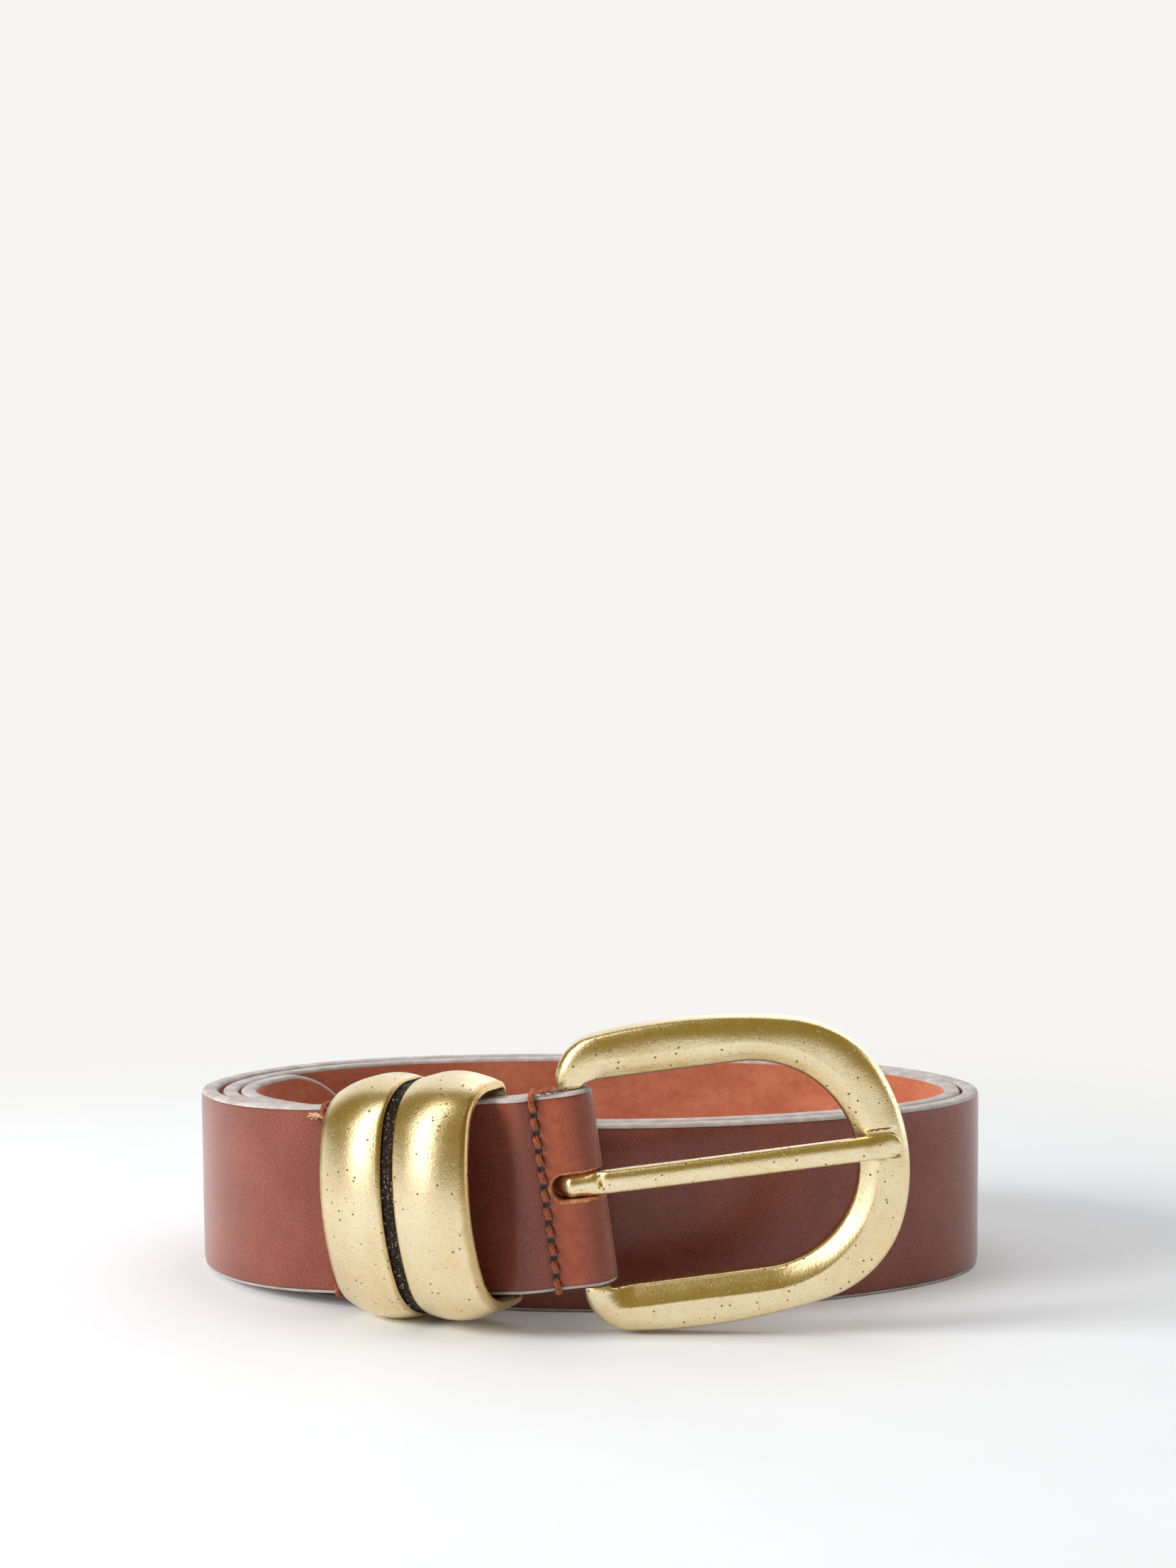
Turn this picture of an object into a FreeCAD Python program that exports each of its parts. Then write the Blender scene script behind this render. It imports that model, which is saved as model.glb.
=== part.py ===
"""Leather dress belt, coiled and standing on its edge, with a solid brass heel-bar buckle.

Millimetres. +Z up, the floor at Z = 0, +X to the right and -Y towards the front.
The strap is coiled two and a quarter turns. Its buckle end leaves the coil at the front, climbs
a little and carries the buckle, whose lower edge stands on the floor like the strap's edge.
The origin is the middle of the belt's footprint, on the floor.
"""
import FreeCAD, Part
import math
import os

V = FreeCAD.Vector

# Strap leather
strap_width = 35.0
leather = 3.2
strap_length = 888.0          # tip to heel bar
tip_length = 19.0             # the rounded point takes this much of the strap
tip_flat = 0.06               # part of the point's quarter wave left as its blunt end
tip_wave = 0.37               # part of the wave, in radians, that one arc of its outline takes
hole_diameter = 5.0
hole_count = 5
hole_pitch = 25.4
first_hole = 77.0             # tip to the centre of the first hole

# Strap end folded round the heel bar
fold_leather = 2.5            # pared where it goes round the bar
turnback_leather = 2.4        # pared where it lies behind the strap
turnback_length = 55.6        # heel bar to the end of the turned-back leather
turnback_corner = 6.0         # cut off the corners of its end
seam_gap = 0.1                # between the strap and the turned-back leather
fold_forward = 0.8            # the strap's back lies this far in front of the bar's axis
fold_length = 9.0             # straight stretch next to the bar
fold_taper = 6.0              # length over which the two layers open round the bar
tongue_slot_reach = 5.3       # heel bar to the blind end of the tongue slot
tongue_slot_play = 0.65       # each side of the tongue

# Thread rows
thread = 0.7
thread_width = 0.9
thread_clear = 0.06
front_row = 6.4               # heel bar to the row beside the fold
rear_row = 52.6               # heel bar to the row near the turned-back end

# Coil, seen from above: the grain face of the outermost turn
coil_half_length = 80.3
coil_half_depth = 45.15
layer_air = 0.45              # between two turns
coil_fullness = 1.7           # the front and back are this much less round than an ellipse
coil_lean = 1.2               # the outer turn's top leans out where it leaves the coil
lean_reach = 38.0

# Buckle end of the strap, from the coil to the bar
join_angle = 82.0             # where it leaves the coil, degrees from the front
run_yaw = 25.9                # the straight stretch under the keeper
run_straight = 42.6
bend_radius = 13.0            # the last bend before the fold
buckle_yaw = 3.0
buckle_tilt = 8.1
rise_blend = 58.0             # half the length over which the strap starts to climb

# Heel bar
bar_radius = 1.5
bar_clear = 0.3               # between the bar and the leather round it
socket_depth = 2.5
socket_clear = 0.02

# Buckle frame
arm_clear = 1.1               # each side of the strap, when it lies in the middle
arm_shift = -0.2              # middle of the strap to the middle of the frame
arm_band = 9.0                # width of the frame's arms
end_band = 9.1                # width of its rounded end
frame_reach = 58.6            # heel bar to the outer end
frame_thickness = 6.0
frame_front = 3.1             # bar axis to the crest of the frame
arm_radius = 109.0            # the arms bow outwards a little
widest_reach = 18.5           # heel bar to where the frame is widest
shoulder_radius = 21.0        # outer corners between the arms and the nose
nose_radius = 34.0
heel_overhang = 2.1           # frame beyond the bar
heel_corner = 8.5
front_round = 3.4             # rounding of the frame's front edges
inner_width = 3.6             # the slope from the frame's crest to its inner edge
inner_drop = 2.6
back_chamfer = 0.7
buckle_lift = 0.7             # the strap holds the lower arm this far off the floor
notch_play = 0.75             # each side of the tongue
notch_depth = 1.0
notch_length = 9.0

# Tongue
tongue_width = 4.6
tongue_tip_width = 4.3
tongue_short = 1.3            # its tip stops this far from the frame's outer end
tongue_thickness = 2.5
tongue_shift = 0.8            # above the middle of the frame
tongue_crest = 4.6            # bar axis to the front of the shank
tongue_rise = 20.0            # heel bar to where the shank reaches its full height
tongue_tip_drop = 1.0
tongue_tip_nose = 0.4         # height of the blunt end face
tongue_tip_bevel = 0.6        # under the end face
tongue_tip_slope = 1.2        # length of the slope on top of the tip
tongue_eye = 1.6              # wall of the eye round the bar
tongue_heel = 1.0             # the eye's back is this much thicker
tongue_heel_round = 1.3       # how far the eye's back is rounded in plan
tongue_fit = 0.05             # running clearance on the bar
tongue_rest = 0.1             # between the tongue and the notch

# Keeper
keeper_width = 31.6           # along the strap
keeper_start = 18.2           # heel bar to its near rim
keeper_side_air = 1.1         # inside, beyond each edge of the strap
keeper_inside = 14.6          # clear depth inside
keeper_crown = 3.6            # wall at the top of each domed band
keeper_rim = 1.2
keeper_groove = 2.6           # width of the groove between the bands
keeper_groove_edge = 2.9      # wall on each side of the groove
keeper_groove_wall = 2.2
keeper_back = 1.3             # flat back wall
keeper_play = 0.25            # between the back wall and the turned-back leather
keeper_air = 0.35             # between the back wall and the coil
keeper_back_bevel = 3.4       # cut off its outer corners at the back
keeper_front_corner = 8.0     # radius of the corners inside
keeper_bow = 1.8              # the front bulges this much between its corners
keeper_tilt = 6.0
keeper_turn = 3.0             # seen from above, it sits turned this much on the strap

# Worked out from the above
tilt = math.radians(buckle_tilt)
turn_pitch = leather + layer_air
inner_radius = bar_radius + bar_clear
outer_radius = inner_radius + fold_leather
arm_inside = strap_width / 2 + arm_clear
frame_half = arm_inside + arm_band
bar_height = (arm_radius - (arm_radius - frame_half) * math.cos(tilt) - widest_reach * math.sin(tilt)
              + buckle_lift)
bar_rise = bar_height - (strap_width / 2 + arm_shift) * math.cos(tilt)
eye_radius = bar_radius + tongue_fit + tongue_eye
stack = leather + seam_gap + turnback_leather
tongue_reach = frame_reach - tongue_short
keeper_swing = keeper_width / 2 * math.sin(math.radians(keeper_turn))
keeper_back_inside = stack + keeper_play + keeper_swing
bend_end = fold_length + bend_radius * math.radians(run_yaw - buckle_yaw)
straight_end = bend_end + run_straight
run_step = 6.0                # between two stations of the strap's front run
arc_length = 19.0             # longest arc along the strap's faces


def smooth(x):
    """Ease from 0 to 1."""
    x = min(max(x, 0.0), 1.0)
    return x * x * (3 - 2 * x)


def coil_point(angle):
    """Grain face of the coil, angle in degrees from the front, clockwise seen from above."""
    a = coil_half_length - turn_pitch * angle / 360
    b = coil_half_depth - turn_pitch * angle / 360
    sine = math.sin(math.radians(angle))
    cosine = math.cos(math.radians(angle))
    outward = V(-sine / a, -cosine / b, 0).normalize()
    hollow = coil_fullness * cosine * math.sin(math.radians(2 * angle)) ** 2
    return V(-a * sine, -b * cosine, 0) - outward * hollow


def coil_yaw(angle):
    """Direction of the strap towards the buckle, as an angle to +X turned towards -Y."""
    along = coil_point(angle - 0.5) - coil_point(angle + 0.5)
    return math.atan2(-along.y, along.x)


def heading(yaw):
    return V(math.cos(yaw), -math.sin(yaw), 0)


def run_stations(blend_radius):
    """Stations (point, yaw) of the grain face from the fold back to where it joins the coil."""
    place = coil_point(join_angle)
    yaw = coil_yaw(join_angle)
    stations = []
    legs = [(blend_radius, math.radians(run_yaw)),
            (None, run_straight),
            (bend_radius, math.radians(buckle_yaw))]
    for radius, goal in legs:
        length = goal if radius is None else radius * (yaw - goal)
        count = max(4, round(length / run_step))
        turn = 0.0 if radius is None else (goal - yaw) / count
        for _ in range(count):
            yaw += turn / 2
            place = place + heading(yaw) * (length / count)
            yaw += turn / 2
            stations.append((place, yaw))
    return stations[::-1]


def distance_to_coil(point):
    """From a point in front of the coil to the grain face of the turn behind it."""
    return min(point.distanceToPoint(coil_point(angle)) for angle in range(300, 460))


def reach_station(stations, reach):
    """The point and yaw at a distance along the strap from the heel bar."""
    travelled = fold_length
    for (here, yaw), (there, next_yaw) in zip(stations, stations[1:]):
        leg = here.distanceToPoint(there)
        if travelled + leg >= reach:
            share = (reach - travelled) / leg
            return here + (there - here) * share, yaw + (next_yaw - yaw) * share
        travelled += leg
    return stations[-1]


def solve_run():
    """Choose the bend off the coil so that the keeper's back wall just clears the coil."""
    wanted = keeper_back_inside + keeper_swing + keeper_back + keeper_air
    low, high = 15.0, 200.0
    for _ in range(40):
        middle = (low + high) / 2
        point, _ = reach_station(run_stations(middle), keeper_start + keeper_width)
        if distance_to_coil(point) < wanted:
            low = middle
        else:
            high = middle
    return run_stations(middle)


run = solve_run()


def strap_path():
    """The whole grain face as (reach from the heel bar, point, yaw), ending at the tip."""
    path = [(fold_length,) + run[0]]
    for place, yaw in run[1:]:
        reach = path[-1][0] + place.distanceToPoint(path[-1][1])
        path.append((reach, place, yaw))
    angle = join_angle
    while path[-1][0] < strap_length:
        angle += 1.0
        place = coil_point(angle)
        reach = path[-1][0] + place.distanceToPoint(path[-1][1])
        path.append((reach, place, coil_yaw(angle)))
    return path


path = strap_path()
join_reach = path[len(run) - 1][0]


def at(reach):
    """The grain face's point and yaw at any reach, between the stations of the path."""
    if reach < path[0][0]:
        return path[0][1] + heading(path[0][2]) * (path[0][0] - reach), path[0][2]
    for (near, here, yaw), (far, there, next_yaw) in zip(path, path[1:]):
        if far >= reach:
            share = (reach - near) / (far - near)
            change = math.remainder(next_yaw - yaw, 2 * math.pi)
            chord = here + (there - here) * share
            across = V(-math.sin(yaw), -math.cos(yaw), 0)
            return chord + across * ((far - near) * share * (1 - share) * change / -2), yaw + change * share
    return path[-1][1], path[-1][2]


def climb(reach):
    """Height of the strap's lower edge and its slope, in plan, towards the buckle."""
    slope = math.tan(tilt)
    remaining = bar_rise / slope - reach
    if remaining <= -rise_blend:
        return 0.0, 0.0
    if remaining >= rise_blend:
        return slope * remaining, slope
    eased = slope * (remaining + rise_blend) / (2 * rise_blend)
    return eased * (remaining + rise_blend) / 2, eased


def strap_frame(reach):
    """Lower grain corner, direction towards the buckle, outward normal and direction across."""
    place, yaw = at(reach)
    height, slope = climb(reach)
    angle = math.atan(slope)
    along = heading(yaw) * math.cos(angle) + V(0, 0, math.sin(angle))
    outward = V(-math.sin(yaw), -math.cos(yaw), 0)
    across = V(0, 0, math.cos(angle)) - heading(yaw) * math.sin(angle)
    return place + V(0, 0, height), along, outward, across


fold_corner, along_bar, front, across_bar = strap_frame(fold_length)
bar_foot = fold_corner + along_bar * fold_length - front * (fold_forward + leather)
bar_centre = bar_foot + across_bar * (strap_width / 2 + arm_shift)


def section(corner, outward, across, depth, trim=0.0, lean=0.0):
    """Four corners of the leather: grain below, grain above, flesh above, flesh below."""
    grain_low = corner + across * trim
    grain_high = corner + across * (strap_width - trim) + outward * lean
    return grain_low, grain_high, grain_high - outward * depth, grain_low - outward * depth


def strap_section(reach, trim=0.0):
    corner, _, outward, across = strap_frame(reach)
    lean = coil_lean * math.exp(-((reach - join_reach - lean_reach) / lean_reach) ** 2)
    if reach < join_reach:
        keeper_end = keeper_start + keeper_width
        lean = lean * smooth((reach - keeper_end) / (join_reach - keeper_end))
    return section(corner, outward, across, leather, trim, lean)


def turnback_section(reach, trim=0.0):
    """A section of the turned-back leather, whose grain faces the coil."""
    corner, _, outward, across = strap_frame(reach)
    corner = corner - outward * stack + across * trim
    high = corner + across * (strap_width - 2 * trim)
    return corner, high, high + outward * turnback_leather, corner + outward * turnback_leather


def fold_section(grain, flesh):
    """A section beside or round the bar, each face given as (along, out) from the bar's axis."""
    low_grain, low_flesh = (bar_foot + along_bar * along + front * out for along, out in (grain, flesh))
    across = across_bar * strap_width
    return low_grain, low_grain + across, low_flesh + across, low_flesh


def front_layer(along):
    open_up = smooth(1 + along / fold_taper)
    grain = fold_forward + leather + (outer_radius - fold_forward - leather) * open_up
    flesh = fold_forward + (inner_radius - fold_forward) * open_up
    return fold_section((along, grain), (along, flesh))


def back_layer(along):
    open_up = smooth(1 + along / fold_taper)
    flesh_shut = fold_forward - seam_gap
    flesh = flesh_shut - (inner_radius + flesh_shut) * open_up
    grain_shut = flesh_shut - turnback_leather
    grain = grain_shut - (outer_radius + grain_shut) * open_up
    return fold_section((along, grain), (along, flesh))


def round_bar(angle):
    grain = (outer_radius * math.cos(angle), outer_radius * math.sin(angle))
    flesh = (inner_radius * math.cos(angle), inner_radius * math.sin(angle))
    return fold_section(grain, flesh)


def steps(start, end, step):
    """Evenly spaced values from start to end, both included."""
    count = max(1, math.ceil(abs(end - start) / step))
    return [start + (end - start) * k / count for k in range(count + 1)]


def arcs_between(section_at, start, end, length):
    """Stretches of three sections each, which become arcs, from start to end."""
    stops = steps(start, end, length)
    return [[section_at(low), section_at((low + high) / 2), section_at(high)]
            for low, high in zip(stops, stops[1:])]


def strap_stretches():
    """Sections from the tip, round the coil and the bar, to the turned-back end, in stretches."""
    def tip_section(wave):
        trim = strap_width / 2 * (1 - math.sin(wave))
        return strap_section(strap_length - tip_length * (1 - math.cos(wave)), trim)

    quarter = math.pi / 2
    corner_start = turnback_length - turnback_corner
    tip = arcs_between(tip_section, tip_flat * quarter, quarter, tip_wave)
    coil = arcs_between(strap_section, strap_length - tip_length, join_reach, arc_length)
    front_run = arcs_between(strap_section, join_reach, straight_end, arc_length)
    front_run += arcs_between(strap_section, straight_end, bend_end, arc_length)
    front_run += arcs_between(strap_section, bend_end, fold_length, arc_length)
    opening = arcs_between(front_layer, -fold_taper, 0, fold_taper / 2)
    around = arcs_between(round_bar, quarter, -quarter, 2 * quarter)
    closing = arcs_between(back_layer, 0, -fold_taper, fold_taper / 2)
    behind = arcs_between(turnback_section, fold_length, bend_end, arc_length)
    behind += arcs_between(turnback_section, bend_end, corner_start, arc_length)
    end = [[behind[-1][-1], turnback_section(turnback_length, turnback_corner)]]
    flat_front = [[front_run[-1][-1], opening[0][0]]]
    flat_back = [[closing[-1][-1], behind[0][0]]]
    return tip + coil + front_run + flat_front + opening + around + closing + flat_back + behind + end


def corner_curve(points):
    """A line through two points or through three in line, otherwise an arc."""
    if len(points) == 3 and points[1].distanceToLine(points[0], points[2] - points[0]) > 1e-4:
        return Part.Arc(points[0], points[1], points[2]).toShape()
    return Part.makeLine(points[0], points[-1])


def side_face(rail, next_rail):
    """The face between two rows of corners: flat, swept straight across, or ruled."""
    edge, next_edge = corner_curve(rail), corner_curve(next_rail)
    heights = [point.z for point in rail + next_rail]
    if max(heights) - min(heights) < 1e-6:
        ends = [Part.makeLine(rail[k], next_rail[k]) for k in (0, -1)]
        return Part.Face(Part.Wire(Part.__sortEdges__([edge, ends[1], next_edge, ends[0]])))
    jump = next_rail[0] - rail[0]
    if max((there - here).distanceToPoint(jump) for here, there in zip(rail, next_rail)) < 1e-6:
        return edge.extrude(jump)
    return Part.makeRuledSurface(edge, next_edge)


def strip_solid(stretches):
    """A closed solid through stretches of four-cornered sections."""
    faces = []
    for sections in stretches:
        rails = [[each[corner] for each in sections] for corner in range(4)]
        faces += [side_face(rails[k], rails[(k + 1) % 4]) for k in range(4)]
    for ends in (stretches[0][0], stretches[-1][-1]):
        faces.append(Part.Face(Part.makePolygon(list(ends) + [ends[0]])))
    shell = Part.makeShell(faces)
    shell.sewShape()
    solid = Part.makeSolid(shell)
    if solid.Volume < 0:
        solid.reverse()
    return solid


def in_buckle(along, up, out):
    """A point given from the bar's centre: towards the frame's end, across and to the front."""
    return bar_centre + along_bar * along + across_bar * up + front * out


def buckle_box(alongs, ups, outs):
    """A block between limits in the buckle's directions."""
    corners = [in_buckle(along, up, outs[0]) for along, up in
               ((alongs[0], ups[0]), (alongs[1], ups[0]), (alongs[1], ups[1]), (alongs[0], ups[1]))]
    return Part.Face(Part.makePolygon(corners + corners[:1])).extrude(front * (outs[1] - outs[0]))


def make_strap():
    strap = strip_solid(strap_stretches())
    cutters = []
    for number in range(hole_count):
        corner, _, outward, across = strap_frame(strap_length - first_hole - number * hole_pitch)
        start = corner + across * (strap_width / 2) + outward * (layer_air / 2)
        cutters.append(Part.makeCylinder(hole_diameter / 2, leather + layer_air, start, outward * -1))
    half = tongue_width / 2 + tongue_slot_play
    wide = outer_radius + 1
    sides = (tongue_shift - half, tongue_shift + half)
    cutters.append(buckle_box((half - tongue_slot_reach, wide), sides, (-wide, wide)))
    blind_end = in_buckle(half - tongue_slot_reach, tongue_shift, -wide)
    cutters.append(Part.makeCylinder(half, 2 * wide, blind_end, front))
    return strap.cut(cutters)


def make_row(reach):
    """One row of stitching: the thread drawn tight round both layers of leather."""
    corner, along, outward, across = strap_frame(reach)
    start = corner - along * (thread_width / 2)
    loops = []
    for margin in (thread_clear, thread_clear + thread):
        low = start - across * margin + outward * margin
        high = low + across * (strap_width + 2 * margin)
        deep = outward * -(stack + 2 * margin)
        loops.append(Part.Face(Part.makePolygon([low, high, high + deep, low + deep, low])))
    inner, outer = loops
    return outer.extrude(along * thread_width).cut(inner.extrude(along * thread_width))


def make_bar():
    half = arm_inside + socket_depth
    return Part.makeCylinder(bar_radius, 2 * half, in_buckle(0, -half, 0), across_bar)


def arc_round(centre, radius, start, end):
    """An arc in the plane of the frame's back, its angles in radians from along towards across."""
    back = frame_front - frame_thickness
    points = []
    for angle in (start, (start + end) / 2, end):
        along = centre[0] + radius * math.cos(angle)
        points.append(in_buckle(along, centre[1] + radius * math.sin(angle), back))
    return Part.Arc(points[0], points[1], points[2]).toShape()


def towards(start, end):
    return math.atan2(end[1] - start[1], end[0] - start[0])


def crossing(first, first_radius, second, second_radius):
    """Where two circles cross, on the left of the way from the first centre to the second."""
    apart = math.hypot(second[0] - first[0], second[1] - first[1])
    turn = math.acos((apart ** 2 + first_radius ** 2 - second_radius ** 2) / (2 * apart * first_radius))
    angle = towards(first, second) - turn
    return first[0] + first_radius * math.cos(angle), first[1] + first_radius * math.sin(angle)


def frame_outline():
    """Outer edge of the frame, arcs that run into each other, as a face in the plane of its back."""
    arm = (widest_reach, frame_half - arm_radius)
    nose = (frame_reach - nose_radius, 0)
    shoulder = crossing(arm, arm_radius - shoulder_radius, nose, nose_radius - shoulder_radius)
    corner_along = heel_corner - heel_overhang
    corner_rise = math.sqrt((arm_radius - heel_corner) ** 2 - (corner_along - widest_reach) ** 2)
    corner = (corner_along, arm[1] + corner_rise)
    corner_end = towards(arm, corner)
    arm_end = towards(arm, shoulder)
    nose_start = towards(nose, shoulder)
    rounds = [(corner, heel_corner, math.pi, corner_end), (arm, arm_radius, corner_end, arm_end),
              (shoulder, shoulder_radius, arm_end, nose_start)]
    edges = [arc_round(*each) for each in rounds]
    edges.append(arc_round(nose, nose_radius, nose_start, -nose_start))
    for (along, across), radius, start, end in rounds[::-1]:
        edges.append(arc_round((along, -across), radius, -end, -start))
    edges.append(Part.makeLine(edges[-1].Vertexes[-1].Point, edges[0].Vertexes[0].Point))
    return Part.Face(Part.Wire(edges))


def inner_slope(side):
    """Section of what is cut away to slope the frame's front down to its inner edge on one arm."""
    low = frame_front - inner_drop

    def spot(across, out):
        return in_buckle(-heel_overhang - 1, side * across, out)
    corners = [spot(arm_inside - 1, low), spot(arm_inside, low), spot(arm_inside + inner_width, frame_front),
               spot(arm_inside + inner_width, frame_front + 1), spot(arm_inside - 1, frame_front + 1)]
    return Part.Face(Part.makePolygon(corners + corners[:1]))


def make_frame():
    """Open-ended loop: two arms that hold the bar and a rounded end that carries the tongue."""
    back = frame_front - frame_thickness
    centre = frame_reach - end_band - arm_inside
    body = frame_outline().extrude(front * frame_thickness)
    fronts = [edge for edge in body.Edges
              if min((vertex.Point - bar_centre).dot(front) for vertex in edge.Vertexes) > frame_front - 0.01]
    body = body.makeFillet(front_round, fronts)
    backs = [edge for edge in body.Edges
             if max((vertex.Point - bar_centre).dot(front) for vertex in edge.Vertexes) < back + 0.01]
    body = body.makeChamfer(back_chamfer, backs)
    arm_length = centre + heel_overhang + 1
    through = (back - 1, frame_front + 1)
    cutters = [buckle_box((-heel_overhang - 1, centre), (-arm_inside, arm_inside), through),
               Part.makeCylinder(arm_inside, frame_thickness + 2, in_buckle(centre, 0, back - 1), front)]
    cutters += [inner_slope(side).extrude(along_bar * arm_length) for side in (-1, 1)]
    end_section = inner_slope(-1)
    end_section.translate(along_bar * arm_length)
    cutters.append(end_section.revolve(in_buckle(centre, 0, 0), front, 180))
    half = tongue_width / 2 + notch_play
    notch_start = frame_reach - end_band - 1
    notch = (notch_start, notch_start + notch_length)
    sides = (tongue_shift - half, tongue_shift + half)
    cutters.append(buckle_box(notch, sides, (frame_front - notch_depth, frame_front + 1)))
    depth = arm_inside + socket_depth
    socket_end = in_buckle(0, -depth, 0)
    cutters.append(Part.makeCylinder(bar_radius + socket_clear, 2 * depth, socket_end, across_bar))
    return body.cut(cutters)


def make_tongue():
    """Eye round the bar and a flat shank that dips at its tip into the frame's notch."""
    half = tongue_width / 2
    side = tongue_shift - half
    rest = frame_front - notch_depth + tongue_rest
    crest = tongue_crest
    under = crest - tongue_thickness
    half_way = tongue_rise / 2
    half_height = eye_radius + (crest - eye_radius) * smooth(0.5) ** 0.5
    frame_inner = frame_reach - end_band
    top_points = [(0, eye_radius),
                  (half_way, half_height),
                  (tongue_rise, crest),
                  (frame_inner, crest),
                  (tongue_reach - tongue_tip_slope, crest - tongue_tip_drop),
                  (tongue_reach, rest + tongue_tip_nose)]
    under_points = [(tongue_reach, rest + tongue_tip_nose),
                    (tongue_reach - tongue_tip_bevel, rest),
                    (frame_inner - 1, rest),
                    (tongue_rise, under),
                    (half_way, half_height - tongue_thickness),
                    (0, eye_radius - tongue_eye / 2),
                    (0, eye_radius)]
    upper = Part.BSplineCurve()
    upper.interpolate([in_buckle(along, side, out) for along, out in top_points])
    edges = [upper.toShape()]
    for start, end in zip(under_points, under_points[1:]):
        edges.append(Part.makeLine(in_buckle(start[0], side, start[1]), in_buckle(end[0], side, end[1])))
    shank = Part.Face(Part.Wire(edges)).extrude(across_bar * tongue_width)
    tip_half = tongue_tip_width / 2
    low = -eye_radius - 1
    heel = -eye_radius - tongue_heel

    def spot(along, across):
        return in_buckle(along, tongue_shift + across, low)
    tip_ends = [spot(tongue_reach - tip_half, -tip_half), spot(tongue_reach - tip_half, tip_half)]
    heel_ends = [spot(heel + tongue_heel_round, half), spot(heel + tongue_heel_round, -half)]
    outline = Part.Wire([Part.makeLine(heel_ends[1], tip_ends[0]),
                         Part.Arc(tip_ends[0], spot(tongue_reach, 0), tip_ends[1]).toShape(),
                         Part.makeLine(tip_ends[1], heel_ends[0]),
                         Part.Arc(heel_ends[0], spot(heel, 0), heel_ends[1]).toShape()])
    prism = Part.Face(outline).extrude(front * (crest + eye_radius + 2))
    oval = Part.Ellipse(in_buckle(-eye_radius - tongue_heel, side, 0),
                        in_buckle(-tongue_heel / 2, side, eye_radius),
                        in_buckle(-tongue_heel / 2, side, 0))
    eye = Part.Face(Part.Wire(oval.toShape())).extrude(across_bar * tongue_width)
    bore = Part.makeCylinder(bar_radius + tongue_fit, tongue_width, in_buckle(0, side, 0), across_bar)
    return shank.fuse(eye).common(prism).cut(bore)


def make_keeper():
    """Loop of two domed bands with a groove between them, its back wall flat."""
    middle, yaw = at(keeper_start + keeper_width / 2)
    yaw += math.radians(keeper_turn)
    lean = math.radians(keeper_tilt)
    along = heading(yaw) * math.cos(lean) + V(0, 0, math.sin(lean))
    across = V(0, 0, math.cos(lean)) - heading(yaw) * math.sin(lean)
    outward = V(-math.sin(yaw), -math.cos(yaw), 0)
    back_inside = -keeper_back_inside
    front_inside = back_inside + keeper_inside - keeper_bow
    half = strap_width / 2 + keeper_side_air
    centre = V(middle.x, middle.y, 0)

    def place(x, up, out):
        return centre + along * x + across * up + outward * out

    def profile(up, out, out_dir):
        """The wall's section at a point of the inside, with its domes facing out_dir."""
        wide = keeper_width / 2
        groove = keeper_groove / 2
        crown_at = (wide + groove) / 2
        base = place(0, up, out)

        def spot(x, wall):
            return base + along * x + out_dir * wall
        rim = spot(-wide, keeper_rim)
        far_rim = spot(wide, keeper_rim)
        edge = spot(-groove, keeper_groove_edge)
        far_edge = spot(groove, keeper_groove_edge)
        floor = spot(-groove, keeper_groove_wall)
        far_floor = spot(groove, keeper_groove_wall)
        edges = [Part.makeLine(spot(-wide, 0), rim),
                 Part.Arc(rim, spot(-crown_at, keeper_crown), edge).toShape(),
                 Part.makeLine(edge, floor),
                 Part.makeLine(floor, far_floor),
                 Part.makeLine(far_floor, far_edge),
                 Part.Arc(far_edge, spot(crown_at, keeper_crown), far_rim).toShape(),
                 Part.makeLine(far_rim, spot(wide, 0)),
                 Part.makeLine(spot(wide, 0), spot(-wide, 0))]
        return Part.Face(Part.Wire(edges))

    front_r = keeper_front_corner
    front_straight = half - front_r
    bow_radius = ((front_r + keeper_bow) ** 2 + front_straight ** 2 - front_r ** 2) / (2 * keeper_bow)
    bow_angle = math.degrees(math.asin(front_straight / (bow_radius - front_r)))
    back_outside = back_inside - keeper_back
    parts = []
    for side in (-1, 1):
        wall = profile(side * half, back_outside, across * side)
        parts.append(wall.extrude(outward * (front_inside - back_outside - front_r)))
        wall = profile(side * half, front_inside - front_r, across * side)
        corner_axis = place(0, side * front_straight, front_inside - front_r)
        parts.append(wall.revolve(corner_axis, along * side, 90 - bow_angle))
    low_left = place(-keeper_width / 2, -half, back_outside)
    to_right = along * keeper_width
    to_top = across * (2 * half)
    sheet = [low_left, low_left + to_right, low_left + to_right + to_top, low_left + to_top, low_left]
    parts.append(Part.Face(Part.makePolygon(sheet)).extrude(outward * keeper_back))
    bow_axis = place(0, 0, front_inside + keeper_bow - bow_radius)
    front_wall = profile(0, front_inside + keeper_bow, outward)
    front_wall.rotate(bow_axis, along, -bow_angle)
    parts.append(front_wall.revolve(bow_axis, along, 2 * bow_angle))
    loop = parts[0].multiFuse(parts[1:])
    bevels = []
    for side in (-1, 1):
        outer = side * (half + keeper_crown + 1)
        inner = side * (half + keeper_crown - keeper_back_bevel)
        deep = back_outside + keeper_back_bevel + 1
        corners = [place(-keeper_width, inner, back_outside),
                   place(-keeper_width, outer, deep),
                   place(-keeper_width, outer, back_outside - 1),
                   place(-keeper_width, inner, back_outside - 1)]
        bevels.append(Part.Face(Part.makePolygon(corners + corners[:1])).extrude(along * (2 * keeper_width)))
    loop = loop.cut(bevels).removeSplitter()
    lowest = loop.optimalBoundingBox().ZMin
    loop.translate(V(0, 0, -lowest))
    return loop


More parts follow.
